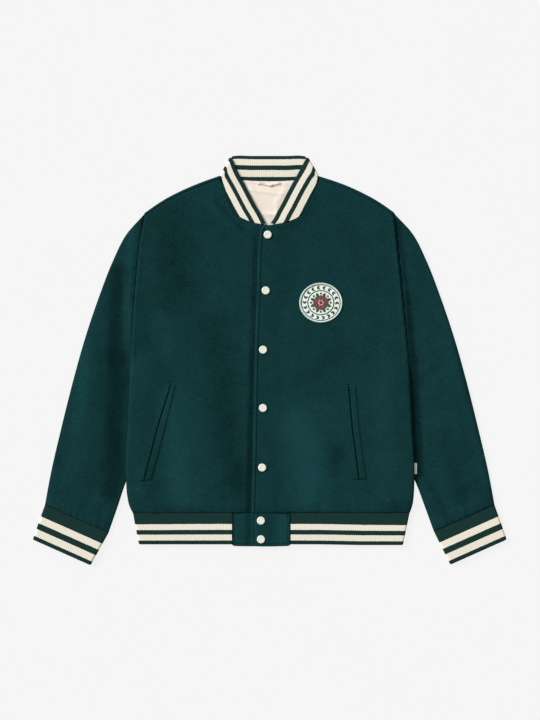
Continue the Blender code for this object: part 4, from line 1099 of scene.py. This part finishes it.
class JACKET_OT_sleeves(bpy.types.Operator):
    """Make both sleeves as tubes that lie flat, their inner edges tucked under the body"""
    bl_idname = "jacket.sleeves"
    bl_label = "Sleeves"

    def execute(self, context):
        for side, word in SIDES:
            self.make(side, word)
        return {"FINISHED"}

    def make(self, side, word):
        step = size("mesh_step")
        stations = np.linspace(0.0, 1.0, round(SLEEVE_ROWS / step) + 1)[:, None]
        top_steps, floor_steps = (round(width / step) for width in SLEEVE_COLUMNS)
        edges = [sleeve_plan(side, stations, np.full_like(stations, share)) for share in (0.0, 1.0)]
        width = np.linalg.norm(edges[1] - edges[0], axis=-1)
        shares, heights = self.section(width, top_steps, floor_steps)
        heights = np.broadcast_to(heights, shares.shape).copy()
        along = np.broadcast_to(stations, shares.shape)
        plan = sleeve_plan(side, along, shares)
        x, y = plan[..., 0], plan[..., 1]
        from_fold = np.minimum(shares, 1 - shares) * width
        fold = size("wool_wall") + SEAM

        top = np.s_[:, :top_steps + 1]
        found = at_rim(Solid(f"sleeve_{word}").height(x[top], y[top]), 2, 2, 1, 1)
        found = soften(found, PASSES["sleeve"])
        at_fold = smooth(from_fold[top] / 9.0 - fold / 9.0)
        heights[top] = 2 * fold * (1 - at_fold) + found * at_fold
        heights[top] += sleeve_relief(x[top], y[top], side, along[top], shares[top], width)

        lower = np.s_[:, top_steps + ROLL_STEPS:top_steps + ROLL_STEPS + floor_steps + 1]
        risen = [(*row[:5], 0.6 * abs(row[5])) for row in SLEEVE_CREASES[-side]]
        heights[lower] += smooth(from_fold[lower] / 20.0 - 0.3) * creases(-x[lower], y[lower], risen)

        shoulder, cuff = np.array(SHOULDER_POINT[side]), np.array(mirrored(CUFF_SEAM[side], side)[0])
        way = (cuff - shoulder) / np.linalg.norm(cuff - shoulder)
        inwards = side * ((x - shoulder[0]) * way[1] - (y - shoulder[1]) * way[0])
        down = (x - shoulder[0]) * way[0] + (y - shoulder[1]) * way[1]
        leaf = np.where(np.arange(x.shape[1]) < top_steps + ROLL_STEPS // 2 + 1, 1.0, -1.0)
        cut = stack(inwards * leaf, down)
        piece = cloth(f"sleeve_{word}_wool", [f"sleeve_{word}"], stack(x, y, heights), cut,
                      size("wool_wall"), body_wool(), "round", wrap=True, nap_and_shade_field=nap(x, y, SLEEVE_NAP_AND_SHADE[side]))
        declare(cut, leaves=[cut[:, leaf > 0], cut[:, leaf < 0]])

    def section(self, width, top_steps, floor_steps):
        """Return the shares across and the heights round the tube: top, inner fold, floor, outer fold."""
        fold = size("wool_wall") + SEAM
        arc = np.pi * np.arange(1, ROLL_STEPS) / ROLL_STEPS
        shares = np.concatenate([
            (fold + (width - 2 * fold) * np.linspace(0.0, 1.0, top_steps + 1)) / width,
            (width - fold + fold * np.sin(arc)) / width,
            (fold + (width - 2 * fold) * np.linspace(1.0, 0.0, floor_steps + 1)) / width,
            (fold - fold * np.sin(arc)) / width,
            fold / width,
        ], axis=1)
        heights = fold + fold * np.concatenate([
            np.ones(top_steps + 1), np.cos(arc), -np.ones(floor_steps + 1), -np.cos(arc), [1.0]])
        return shares, heights


# ---------------------------------------------------------------- rib knit bands

def up_and_out(outward, turn):
    """The direction at an angle round a fold, from straight up, through outward, to straight down."""
    return np.array([outward[0] * math.sin(turn), outward[1] * math.sin(turn), math.cos(turn)])


def in_wall(direction):
    """The middle of a flat tube's wall on one side of its fold, over the surface that it lies on."""
    wall = size("rib_wall")
    return np.array([0.0, 0.0, wall + SEAM]) + direction * (wall / 2 + SEAM)


def band(name, node, stations, closed, stripes):
    """Knit a doubled band through stations: seam point, free edge point, normal, stripe roll and ease."""
    half, pitch = size("rib_wall") / 2, size("rib_pitch")
    table = np.array([np.concatenate([seam, free, normal, [roll, ease]])
                      for seam, free, normal, roll, ease in stations])
    if closed:
        table = np.concatenate([table, table[:1]])
    reach = run_along((table[:, 0:3] + table[:, 3:6]) / 2 + table[:, 6:9] * half)
    per_rib = len(RIB_PROFILE)
    places = np.linspace(0.0, reach[-1], round(reach[-1] / pitch) * per_rib + 1)
    table = read_along(places, reach, table)
    seam, free, normal, roll, ease = table[:, 0:3], table[:, 3:6], table[:, 6:9], table[:, 9], table[:, 10]
    normal = normal / np.linalg.norm(normal, axis=1)[:, None]
    width = np.linalg.norm(free - seam, axis=1)[:, None]
    away = (free - seam) / width
    count = np.arange(len(places))
    valley = 1 - np.array(RIB_PROFILE)[count % per_rib][:, None]
    sunk = size("rib_depth") * valley
    faces = np.linspace(0.0, 1.0, FACE_ROWS + 1)
    points, cut = [], []
    for way, shares in ((1, faces), (-1, faces[::-1])):
        shown = np.clip(way * normal[:, 2:3], 0.0, 1.0)
        for share in shares:
            offset = half + RIB_RISE * shown + RIB_PUFF * shown * math.sin(math.pi * share) - sunk
            points.append(seam + away * (width - half) * share + normal * offset * way)
            cut.append(half + (width[:, 0] - half) * (1 - share))
        if way > 0:
            for k in range(1, EDGE_ROWS):
                turn = math.pi * k / EDGE_ROWS
                offset = half - 0.6 * sunk + RIB_RISE * shown * (1 + math.cos(turn)) / 2
                past = half * (math.sin(turn) * (1 - 0.1 * valley) - 1)
                points.append(free + away * past + normal * offset * math.cos(turn))
                cut.append(np.full(len(places), half * (1 - math.sin(turn))))
    points.append(points[0])
    cut.append(cut[0])
    flat = stack(count * pitch / per_rib, np.stack(cut) * ease + roll)
    mesh = grid_mesh(np.stack(points), flat, wrap=True)
    if not closed:
        bmesh.ops.holes_fill(mesh, edges=[edge for edge in mesh.edges if edge.is_boundary], sides=0)
    bmesh.ops.recalc_face_normals(mesh, faces=mesh.faces)
    piece = finish_piece(mesh, name, [node], rib_knit(name.replace("_", " "), stripes), sharp=60)
    declare(flat[:FACE_ROWS + 1])


class JACKET_OT_cuffs(bpy.types.Operator):
    """Knit both striped cuffs as closed bands"""
    bl_idname = "jacket.cuffs"
    bl_label = "Cuffs"

    def execute(self, context):
        fold = size("rib_wall") + SEAM
        for side, word in SIDES:
            seam, edge = (np.array([(x, y, 0.0) for x, y in mirrored(line[side], side)])
                          for line in (CUFF_SEAM, CUFF_EDGE))
            seam -= (edge - seam) * CUFF_LAP / np.linalg.norm(edge - seam, axis=1)[:, None]
            out = (seam[1] - seam[0]) / np.linalg.norm(seam[1] - seam[0])

            def station(share, direction):
                ends = []
                for start, end in (seam, edge):
                    inset = fold * (end - start) / np.linalg.norm(end - start)
                    ends.append(start + inset + (end - start - 2 * inset) * share + in_wall(direction))
                return *ends, direction, 0.0, 1.0

            shares = np.linspace(0.0, 1.0, 9)
            stations = [station(share, UP) for share in shares]
            stations += [station(1.0, up_and_out(out, turn)) for turn in FOLD_TURNS]
            stations += [station(1 - share, -UP) for share in shares]
            stations += [station(0.0, -up_and_out(out, turn)) for turn in FOLD_TURNS]
            band(f"cuff_{word}_knit", f"cuff_{word}", stations, True, STRIPES["cuff"])
        return {"FINISHED"}


class JACKET_OT_hem_band(bpy.types.Operator):
    """Knit the striped hem band, one strip that folds round both sides"""
    bl_idname = "jacket.hem_band"
    bl_label = "Hem band"

    def execute(self, context):
        fold_x = {side: HEM_HALF[side][0] - size("rib_wall") - SEAM for side, _ in SIDES}

        def station(x, direction):
            side = -1 if x < 0 else 1
            drawn_in = (HEM_HALF[side][0] - HEM_HALF[side][1]) \
                * smooth((abs(x) - HEM_STRAIGHT) / (fold_x[side] - HEM_STRAIGHT))
            sag = HEM_SAG * smooth((x - HEM_STRAIGHT) / 120.0)
            seam = np.array([x, HEM_SEAM_Y + HEM_LAP, 0.0]) + in_wall(direction)
            free = np.array([x - side * drawn_in, HEM_EDGE_Y - sag, 0.0]) + in_wall(direction)
            return seam, free, direction, 0.0, 1.0

        out = np.array([1.0, 0.0, 0.0])
        right, left = -fold_x[-1], fold_x[1]
        stations = [station(x, UP) for x in np.linspace(TAB_UNDER_X[0] - SEAM, right, 13)]
        stations += [station(right, up_and_out(-out, turn)) for turn in FOLD_TURNS]
        stations += [station(x, -UP) for x in np.linspace(right, left, 25)]
        stations += [station(left, up_and_out(out, turn)) for turn in FOLD_TURNS[::-1]]
        stations += [station(x, UP) for x in np.linspace(left, TAB_TOP_X[1] + SEAM, 13)]
        band("hem_knit", "hem_rib", stations, False, STRIPES["hem"])
        return {"FINISHED"}


class JACKET_OT_collar(bpy.types.Operator):
    """Knit the striped collar, one strip that folds at both sides of the neck"""
    bl_idname = "jacket.collar"
    bl_label = "Collar"

    def execute(self, context):
        low = size("rib_wall") / 2
        high = COLLAR_HEIGHT + low
        back_rows = Line(COLLAR_BACK)

        def ends(row, side, height):
            return (np.array([NECK_X - side * row[0], row[1], height]),
                    np.array([NECK_X - side * row[2], row[3], height]))

        def front(side, end_rise):
            made = []
            for share in np.linspace(0.0, 1.0, 25):
                rise = end_rise * max(1 - share / COLLAR_END_RUN, 0.0)
                row = Line(COLLAR_FRONT[side]).at(share)
                ease = COLLAR_EASE[side] * (1 - COLLAR_FOLD_EASE * smooth((share - 0.8) / 0.2))
                made.append((*ends(row, side, high + rise), UP, 0.0, ease))
            return made

        def fold(side):
            out = (-side * COLLAR_FOLD_OUT[0], COLLAR_FOLD_OUT[1])
            radius = (high - low) / 2
            start, end = np.array(COLLAR_FRONT[side][-1]), np.array(COLLAR_BACK[0])
            made = []
            for k, turn in enumerate(FOLD_TURNS, start=1):
                direction = up_and_out(out, turn)
                under = min(2 * k / FOLD_STEPS, 1.0)
                roll = COLLAR_ROLL * (math.sin(turn) if under < 1 else 1.0)
                ease = COLLAR_EASE[side] * (1 - COLLAR_FOLD_EASE) * (1 - under) + COLLAR_BACK_EASE * under
                seam, free = ends(start + (end - start) * k / FOLD_STEPS, side, low + radius)
                made.append((seam + direction * radius, free + direction * radius, direction, roll, ease))
            return made

        def back(side):
            return [(*ends(back_rows.at(share), side, low), -UP, COLLAR_ROLL, COLLAR_BACK_EASE)
                    for share in np.linspace(0.0, 1.0, 17)]

        stations = front(-1, 0.0) + fold(-1) + back(-1)
        stations += back(1)[-2::-1] + fold(1)[::-1] + front(1, COLLAR_END_RISE)[::-1]
        band("collar_knit", "collar_rib", stations, False, STRIPES["collar"])
        return {"FINISHED"}


# ---------------------------------------------------------------- small pieces of cloth

class JACKET_OT_lining(bpy.types.Operator):
    """Make the lining in the neck, with the wrinkles it lies in"""
    bl_idname = "jacket.lining"
    bl_label = "Neck lining"

    def execute(self, context):
        half = Line(LINING_EDGE).sample(46)
        x = NECK_X + half[:, 1:] * np.linspace(-1.0, 1.0, 45)
        y = np.broadcast_to(half[:, :1], x.shape)
        z = box("neck_lining")[1][2] - 0.1 + 1.5 * creases(x, y, WRINKLES) - smooth((y - 339.0) / 3.0)
        piece = cloth("neck_lining_satin", ["neck_lining"], stack(x, y, z), stack(x, y),
                      WALLS["lining"], satin("lining satin", colours().lining), "up")
        declare(stack(x, y))
        return {"FINISHED"}


class JACKET_OT_hanger_loop(bpy.types.Operator):
    """Make the hanger loop, a folded satin tape that waves a little"""
    bl_idname = "jacket.hanger_loop"
    bl_label = "Hanger loop"

    def execute(self, context):
        low, high = box("hanger_loop")
        share = np.linspace(0.0, 1.0, 49)[:, None]
        turn = np.linspace(0.0, math.tau, 17)[None, :]
        run = (high[0] - low[0]) * share
        wander = 0.9 * np.sin(share * 9.0) + 0.5 * np.sin(share * 21.0)
        lifted = 0.8 * np.sin(math.pi * share) ** 2 + 0.35 * np.sin(share * 15.0)
        twist = 0.5 * np.sin(share * 7.0 + 0.6)
        wide, thick = 2.6 * np.cos(turn), 0.62 * np.sin(turn)
        y = (low[1] + high[1]) / 2 + wander + wide * np.cos(twist) - thick * np.sin(twist)
        z = low[2] + 1.0 + lifted + thick * np.cos(twist) + wide * np.sin(twist)
        cut = stack(run, LOOP_ROUND * turn / math.tau)
        piece = cloth("hanger_loop_tape", ["hanger_loop"], stack(low[0] + run, y, z), cut,
                      WALLS["tape"], satin("lining satin", colours().lining), "round", wrap=True)
        declare(cut)
        return {"FINISHED"}


class JACKET_OT_hem_tabs(bpy.types.Operator):
    """Make the two wool tabs that close the hem band"""
    bl_idname = "jacket.hem_tabs"
    bl_label = "Hem tabs"

    def execute(self, context):
        self.make("hem_tab_under_wool", "hem_tab_right", *TAB_UNDER_X)
        self.make("hem_tab_upper_wool", "hem_tab_left", *TAB_TOP_X)
        return {"FINISHED"}

    def make(self, name, node, start, end):
        width, height = end - start, HEM_SEAM_Y + HEM_LAP - TAB_EDGE_Y
        across = stretch(TAB_COLUMNS + [width - away for away in TAB_COLUMNS[::-1]], 3.0)[None, :]
        up = stretch(TAB_COLUMNS + [height - away for away in (3.0, 1.4, 0.5, 0.0)], 3.0)[:, None]
        from_side, from_edge = np.minimum(across, 1 - across) * width, up * height
        corner = 2.4 * np.exp(-from_side / 2.4) * np.exp(-from_edge / 3.0)
        y = TAB_EDGE_Y + from_edge + corner - 0.5 * np.sin(np.pi * across) * (1 - up)
        x = np.broadcast_to(start + width * across, y.shape)
        z = soften(at_rim(Solid(node).height(x, y), 3, 3, 3, 2), PASSES["tab"])
        inwards = np.minimum(from_side, from_edge)
        in_groove = hump(np.abs(inwards - TAB_STITCH), 1.4)
        z += 0.3 * hump(np.abs(inwards - 2.6), 2.4) - 2.0 * rounding(inwards, 2.6) - 0.7 * in_groove
        z += seam_dip(height - from_edge, 1.0, 1.2) + 0.25 * np.sin(x / 9.0) * np.sin(y / 12.0)
        z -= snap_dents(x, y, snap_places()[PLACKET_SNAPS:], 0.4, 15.0)
        wool = melton_wool("tab wool", colours().tab_wool, colours().wool_light)
        # Along the groove of its topstitching the tab is darkened: painted shade
        piece = cloth(name, [node], stack(x, y, z), stack(x, y), WALLS["tab"], wool,
                      "up", nap_and_shade_field=nap(x, y, TAB_NAP_AND_SHADE) - 0.3 * in_groove)
        declare(stack(x, y))


def pocket_rows(side):
    """The stitched rows of a pocket's welt, which is its outer one, and of its lip."""
    rows = POCKETS[side]["rows"]
    return zip(("welt", "lip"), rows if side < 0 else rows[::-1])


class JACKET_OT_pockets(bpy.types.Operator):
    """Make the slanted pockets: a lip on each side of the mouth, turned in and stitched down"""
    bl_idname = "jacket.pockets"
    bl_label = "Pockets"

    def execute(self, context):
        for side, word in SIDES:
            ground = Solid(f"front_{word}_wool")
            for part, row in pocket_rows(side):
                self.make(side, word, part, row, ground)
        return {"FINISHED"}

    def make(self, side, word, part, row, ground):
        mouth = Line(POCKETS[side]["mouth"])
        along = np.linspace(0.0, 1.0, 81)[:, None]
        centre_x, centre_y = np.split(mouth.at(along[:, 0]), 2, axis=1)
        stitched = Line(row).points[::-1]
        row_x = np.interp(centre_y, stitched[:, 1], stitched[:, 0])
        reach = np.abs(row_x - centre_x)
        last, first = MOUTH_COLUMNS[-1], LIP_COLUMNS[0]
        middle = np.linspace(0.0, 1.0, 5)[1:-1]
        from_mouth = np.concatenate([np.tile(MOUTH_COLUMNS, (len(reach), 1)),
                                     last + (reach + first - last) * middle,
                                     reach + LIP_COLUMNS], axis=1)
        wavy = 0.3 * np.sin(along * 11.0) * np.clip(1 - from_mouth / 8.0, 0.0, 1.0)
        x = centre_x + (side if part == "welt" else -side) * from_mouth + wavy
        y = np.broadcast_to(centre_y, x.shape)
        top = ground.height(x, y) + POCKET_DEPTH * hump(mouth.nearest(x, y)[0], POCKET_REACH)
        ends = smooth(np.minimum(along, 1 - along) * 190.0 / 6.0)
        past = from_mouth - reach
        turned = 1.9 * rounding(from_mouth - 0.8, 2.2)
        groove = 0.9 * hump(np.abs(past), 1.5)
        risen = ends * (1.3 * smooth((2.4 - past) / 3.0) - turned - groove)
        z = soften(top, PASSES["pocket"]) + 0.2 + risen - 0.5 * smooth((past - 1.6) / 1.0)
        flat = stack(from_mouth, y)
        # The wool is darkened along the stitched rows and at the mouth: painted shade in the grooves and in
        # the opening
        shade = nap(x, y, BODY_NAP_AND_SHADE) - 0.35 * hump(np.abs(past), 1.4)
        shade -= 0.3 * np.clip(1.8 - from_mouth, 0.0, 1.0)
        nodes = [f"pocket_welt_{word}"] if part == "welt" else []
        piece = cloth(f"pocket_{part}_{word}_wool", nodes, stack(x, y, z), flat,
                      WALLS["pocket"], body_wool(), "up", nap_and_shade_field=shade)
        declare(flat)


class JACKET_OT_side_label(bpy.types.Operator):
    """Make the bare woven tab in the left side seam, folded over"""
    bl_idname = "jacket.side_label"
    bl_label = "Side label"

    def execute(self, context):
        low, high = box("side_label")
        root, tip, top = low[0], high[0], high[2]
        middle = Line([(root, top - 0.5), (root + 2.0, top - 1.6), (root + 4.3, top - 1.9),
                       (tip - 0.4, top - 2.1)]).sample(10)
        upper, under = middle + (0.0, 0.4), (middle - (0.0, 0.4))[::-1]
        section = np.concatenate([upper, [(tip, (upper[-1, 1] + under[0, 1]) / 2)], under])
        y = np.linspace(low[1], high[1], 22)[:, None]
        points = stack(section[:, 0], y, section[:, 1] + 0.12 * np.sin(y / 3.0))
        cut = stack(run_along(section), y)
        piece = cloth("side_label_satin", ["side_label"], points, cut,
                      WALLS["label"], satin("label satin", colours().lining), "round")
        declare(cut)
        return {"FINISHED"}


# ---------------------------------------------------------------- snaps and stitches

class JACKET_OT_snaps(bpy.types.Operator):
    """Turn the enamelled snap caps: a shallow dish inside a rolled rim"""
    bl_idname = "jacket.snaps"
    bl_label = "Snaps"

    def execute(self, context):
        enamel = snap_enamel("baked enamel", colours().snap)
        for number, place in enumerate(snap_places(), start=1):
            low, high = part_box(f"snap_{number}")
            x, y = place * MM
            radius, height = SNAP_SHARE * (high.x - low.x) / 2, high.z - low.z
            mesh = bmesh.new()
            verts = [mesh.verts.new((x + radius * r, y, low.z + height * h)) for r, h in CAP_PROFILE]
            edges = [mesh.edges.new(pair) for pair in zip(verts, verts[1:])]
            bmesh.ops.spin(mesh, geom=verts + edges, cent=(x, y, 0.0), axis=(0.0, 0.0, 1.0),
                           angle=math.tau, steps=40, use_merge=True)
            bmesh.ops.remove_doubles(mesh, verts=mesh.verts, dist=0.000001)
            bmesh.ops.recalc_face_normals(mesh, faces=mesh.faces)
            finish_piece(mesh, f"snap_cap_{number}", [f"snap_{number}"], enamel, sharp=70)
        return {"FINISHED"}


def stitch_row(mesh, line, ground, tight=False):
    """Lay a row of stitches on a piece, each a slug of thread: tight ones lean and hide their gaps."""
    length, gap, thick, lean = size("stitch_length"), size("stitch_gap"), size("thread"), 0.0
    if tight:
        length, gap, thicker, lean = BAR_TACK
        thick *= thicker
    count = int(line.reach[-1] / (length + gap))
    for k in range(count):
        share = (k + 0.5) / count
        x, y = line.at(share)
        ahead = line.at(min(share + 0.004, 1.0)) - line.at(max(share - 0.004, 0.0))
        height = ground.hit(x, y)
        if height is None:
            continue
        place = Matrix.Translation(Vector((x, y, height + 0.12)) * MM)
        turn = Matrix.Rotation(math.atan2(ahead[1], ahead[0]) + lean, 4, "Z")
        shape = Matrix.Diagonal(Vector((length / 2, thick / 2, thick * 0.45, 1.0 / MM)) * MM)
        bmesh.ops.create_uvsphere(mesh, u_segments=6, v_segments=5, radius=1.0, matrix=place @ turn @ shape)


def shifted(points, offset):
    """Move a line sideways by a distance, to its left as it runs."""
    line = Line(points)
    fine = line.sample(max(round(line.reach[-1] / 8.0), 8))
    way = np.gradient(fine, axis=0)
    way /= np.linalg.norm(way, axis=1)[:, None]
    return Line(fine + offset * stack(-way[:, 1], way[:, 0]), steps=4)


class TopOf:
    """The higher of several surfaces, whose height is read like a solid's."""

    def __init__(self, *solids):
        self.solids = solids

    def hit(self, x, y):
        heights = [solid.hit(x, y) for solid in self.solids]
        return max((height for height in heights if height is not None), default=None)


class JACKET_OT_topstitching(bpy.types.Operator):
    """Sew the rows of topstitching along the placket, neck, pockets and tabs"""
    bl_idname = "jacket.topstitching"
    bl_label = "Topstitching"

    def execute(self, context):
        fronts = {word: Solid(f"front_{word}_wool") for _, word in SIDES}
        self.sew("placket", [(shifted(FRONT_EDGE, -size("placket_stitch")), fronts["left"])])
        self.sew("neck", [(shifted(collar_seam(COLLAR_FRONT[side], side, 12)[1:-1], -side * NECK_STITCH),
                           fronts[word]) for side, word in SIDES])
        for side, word in SIDES:
            over = {part: TopOf(Solid(f"pocket_{part}_{word}_wool"), fronts[word])
                    for part in ("welt", "lip")}
            self.sew(f"pocket_{word}", [(Line(row), over[part]) for part, row in pocket_rows(side)]
                     + [(Line(bar), over["welt"], True) for bar in POCKETS[side]["bars"]])
        upper, under = (Solid(f"hem_tab_{word}_wool") for word in ("upper", "under"))
        low, high = TAB_EDGE_Y + TAB_STITCH, HEM_SEAM_Y - 1.5
        left, right = TAB_TOP_X[0] + TAB_STITCH, TAB_TOP_X[1] - TAB_STITCH
        under_left = TAB_UNDER_X[0] + TAB_STITCH
        self.sew("tabs", [(Line(ends), tab) for ends, tab in (
            ([(right, high), (right, low)], upper), ([(left, high), (left, low)], upper),
            ([(left, low), (right, low)], upper), ([(under_left, high), (under_left, low)], under),
            ([(under_left, low), (TAB_TOP_X[0] - 1.0, low)], under))])
        return {"FINISHED"}

    def sew(self, word, rows):
        """Sew rows of stitches as one piece: for each its line, the surface below and whether it's tight."""
        mesh = bmesh.new()
        for row in rows:
            stitch_row(mesh, *row)
        thread = laid_thread("sewing thread", colours().thread, *SEWING_THREAD)
        finish_piece(mesh, f"stitches_{word}", [], thread, sharp=80)


# ---------------------------------------------------------------- patch

def patch_point(radius, angle):
    """A place on the patch at a share of its radius and an angle from its top, clockwise."""
    low, high = box("chest_patch")
    middle, half = (low + high) / 2, (high - low) / 2
    return middle[0] + half[0] * radius * np.sin(angle), middle[1] + half[1] * radius * np.cos(angle)


def patch_radius():
    low, high = box("chest_patch")
    return (high[0] - low[0]) / 2


class JACKET_OT_patch(bpy.types.Operator):
    """Embroider the round chest patch: a rosette inside rings, with an overlocked rim"""
    bl_idname = "jacket.patch"
    bl_label = "Chest patch"

    def execute(self, context):
        ground = Solid("front_left_wool")
        radius = np.linspace(0.0, TWILL_SHARE, 26)[:, None]
        x, y = patch_point(radius, np.linspace(0.0, math.tau, 97)[None, :])
        centre = patch_point(0.0, 0.0)
        z = soften(ground.height(x, y), PASSES["patch"]) + TWILL_RISE
        z[0] = z[0].mean()
        cut = stack(x - centre[0], y - centre[1])
        twill = cloth("patch_twill", ["chest_patch"], stack(x, y, z), cut, WALLS["twill"],
                      patch_twill("cotton twill", colours().patch_ground), "up", wrap=True)
        self.top = Solid("patch_twill")
        parts = {name: bmesh.new() for name in PATCH_THREADS}
        for inner, outer in PATCH_RINGS:
            self.ring(parts["rings"], inner, outer)
        for k in range(SPRIGS):
            turn = math.tau * (k + 0.5) / SPRIGS + 0.02
            for out, lean in SPRIG_ROWS:
                self.leaf(parts["rings"], out, turn, *SPRIG_LEAF, lean)
        self.leaf(parts["heart"], 0.0, 0.0, HEART, HEART, 0)
        for k in range(PETALS):
            for name, (out, late, *shape) in FLOWER.items():
                self.leaf(parts[name], out, math.tau * (k + late) / PETALS, *shape)
        self.rim(parts["rim"], ground)
        pieces = [self.sew(parts[name], f"patch_{name}", thread, getattr(colours(), colour))
                  for name, (thread, colour) in PATCH_THREADS.items()]
        declare(cut)
        return {"FINISHED"}

    def sew(self, mesh, name, thread, colour):
        bmesh.ops.recalc_face_normals(mesh, faces=mesh.faces)
        thread = laid_thread(thread, colour, *EMBROIDERY_THREAD)
        return finish_piece(mesh, name, [], thread, sharp=80)

    def add(self, target, made):
        data = mesh_data(made, "stitches")
        target.from_mesh(data)
        bpy.data.meshes.remove(data)

    def satin_stitch(self, target, x, y, crown, run, thread, wrap=False):
        """Add a shape that stands up by its crown, and whose border is sunk in the twill."""
        z = self.top.height(x, y) + crown + np.where(crown < 0.001, -SATIN_LIFT, SATIN_LIFT)
        made = grid_mesh(stack(x, y, z), stack(run, thread), wrap)
        face_outwards(made, "up")
        self.add(target, made)

    def ring(self, target, inner, outer):
        share = np.linspace(0.0, 1.0, 7)[:, None]
        angle = np.linspace(0.0, math.tau, 121)[None, :]
        x, y = patch_point(inner + (outer - inner) * share, angle)
        crown = 0.4 * np.sin(math.pi * share)
        self.satin_stitch(target, x, y, crown, angle * 40.0 * outer, share * 2.0, wrap=True)

    def leaf(self, target, radius, turn, half_length, half_width, heading):
        """A pointed or round shape that lies along the ring, or along the radius where heading says."""
        share = np.linspace(-1.0, 1.0, 15)[:, None]
        side = np.linspace(-1.0, 1.0, 9)[None, :]
        if half_length == half_width:
            width = half_width * np.sqrt(np.clip(1 - share ** 2, 0.0, 1.0))
        else:
            width = half_width * np.cos(math.pi / 2 * np.abs(share)) ** 0.8
        along, over = half_length * share * patch_radius(), width * side * patch_radius()
        heading = math.radians(heading)
        tangent = along * math.cos(heading) - over * math.sin(heading)
        outward = along * math.sin(heading) + over * math.cos(heading)
        middle = patch_point(radius, turn)
        x = middle[0] + tangent * math.cos(turn) + outward * math.sin(turn)
        y = middle[1] - tangent * math.sin(turn) + outward * math.cos(turn)
        crown = 0.5 * np.sqrt(np.clip((1 - share ** 2) * (1 - side ** 2), 0.0, 1.0))
        self.satin_stitch(target, x, y, crown, along, over)

    def rim(self, target, ground):
        """The overlocked rim: thick thread wrapped round the patch's edge, its turns leaning."""
        angle = np.linspace(0.0, math.tau, RIM_TURNS * 4 + 1)[None, :]
        section = np.linspace(0.0, math.tau, 13)[:, None]
        lean = 0.12 * np.cos(angle * RIM_TURNS + 1.6 * np.cos(section))
        half_width, half_height = RIM_HALF
        x, y = patch_point(RIM_PLACE + (half_width + lean) * np.cos(section) / patch_radius(), angle)
        base = ground.height(*patch_point(RIM_PLACE, angle))
        points = stack(x, y, base + RIM_RISE + (half_height + lean) * np.sin(section))
        cut = stack(angle * patch_radius() + 1.2 * np.cos(section), section * 2.0)
        self.add(target, grid_mesh(points, cut, wrap=True))


# ---------------------------------------------------------------- stage

class JACKET_OT_stage(bpy.types.Operator):
    """Set the pale floor, the soft light and the camera straight above the jacket"""
    bl_idname = "jacket.stage"
    bl_label = "Stage"

    def execute(self, context):
        scene, stage = context.scene, context.scene.jacket_stage
        mesh = bmesh.new()
        bmesh.ops.create_grid(mesh, x_segments=1, y_segments=1, size=FLOOR_HALF)
        data = mesh_data(mesh, "floor")
        data.transform(Matrix.Translation((0.0, 0.0, FLOOR_Z)))
        data.materials.append(light_table("opal acrylic", stage.floor, stage.glow))
        floor = bpy.data.objects.new("floor", data)
        scene.collection.objects.link(floor)

        key = bpy.data.lights.new("key light", "SUN")
        key.energy = stage.key_strength
        key.angle = stage.key_softness
        light = bpy.data.objects.new("key light", key)
        level = math.cos(stage.key_height)
        towards = Vector((level * KEY_WAY[0], level * KEY_WAY[1], math.sin(stage.key_height)))
        light.rotation_euler = towards.to_track_quat("Z", "Y").to_euler()
        scene.collection.objects.link(light)
        world = bpy.data.worlds.new("studio")
        world.use_nodes = True
        fill_node(world.node_tree, world.node_tree.nodes["Background"],
                  {"Color": rgba((1.0, 1.0, 1.0)), "Strength": stage.fill})
        scene.world = world
        scene.view_settings.view_transform = "Standard"
        scene.view_settings.look = "None"

        data = bpy.data.cameras.new("camera")
        data.sensor_fit = "VERTICAL"
        data.sensor_height = 36.0
        data.lens = data.sensor_height * (stage.camera_height - JACKET_TOP) / stage.frame_height
        camera = bpy.data.objects.new("camera", data)
        camera.location = (CAMERA_X, 0.0, stage.camera_height)
        scene.collection.objects.link(camera)
        scene.camera = camera
        return {"FINISHED"}


# ---------------------------------------------------------------- add-on

OPERATORS = (JACKET_OT_back, JACKET_OT_sleeves, JACKET_OT_fronts, JACKET_OT_cuffs, JACKET_OT_hem_band,
             JACKET_OT_collar, JACKET_OT_lining, JACKET_OT_hanger_loop, JACKET_OT_hem_tabs,
             JACKET_OT_pockets, JACKET_OT_side_label, JACKET_OT_snaps, JACKET_OT_patch,
             JACKET_OT_topstitching, JACKET_OT_stage)
GROUPS = {"jacket_sizes": JacketSizes, "jacket_colours": JacketColours, "jacket_stage": JacketStage}


class JACKET_PT_panel(bpy.types.Panel):
    """List the jacket's settings and the operators that make its pieces"""
    bl_idname = "JACKET_PT_panel"
    bl_label = "Bomber Jacket"
    bl_space_type = "VIEW_3D"
    bl_region_type = "UI"
    bl_category = "Jacket"

    def draw(self, context):
        for group_name in GROUPS:
            group = getattr(context.scene, group_name)
            box = self.layout.box()
            for setting in group.__annotations__:
                box.prop(group, setting)
        for operator in OPERATORS:
            self.layout.operator(operator.bl_idname)


def register():
    for group_name, group in GROUPS.items():
        bpy.utils.register_class(group)
        setattr(bpy.types.Scene, group_name, PointerProperty(type=group))
    for operator in OPERATORS:
        bpy.utils.register_class(operator)
    bpy.utils.register_class(JACKET_PT_panel)


def unregister():
    bpy.utils.unregister_class(JACKET_PT_panel)
    for operator in reversed(OPERATORS):
        bpy.utils.unregister_class(operator)
    for group_name, group in GROUPS.items():
        delattr(bpy.types.Scene, group_name)
        bpy.utils.unregister_class(group)


def main():
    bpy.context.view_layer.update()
    register()
    for operator in OPERATORS:
        group, action = operator.bl_idname.split(".")
        getattr(getattr(bpy.ops, group), action)()


if __name__ == "__main__":
    main()
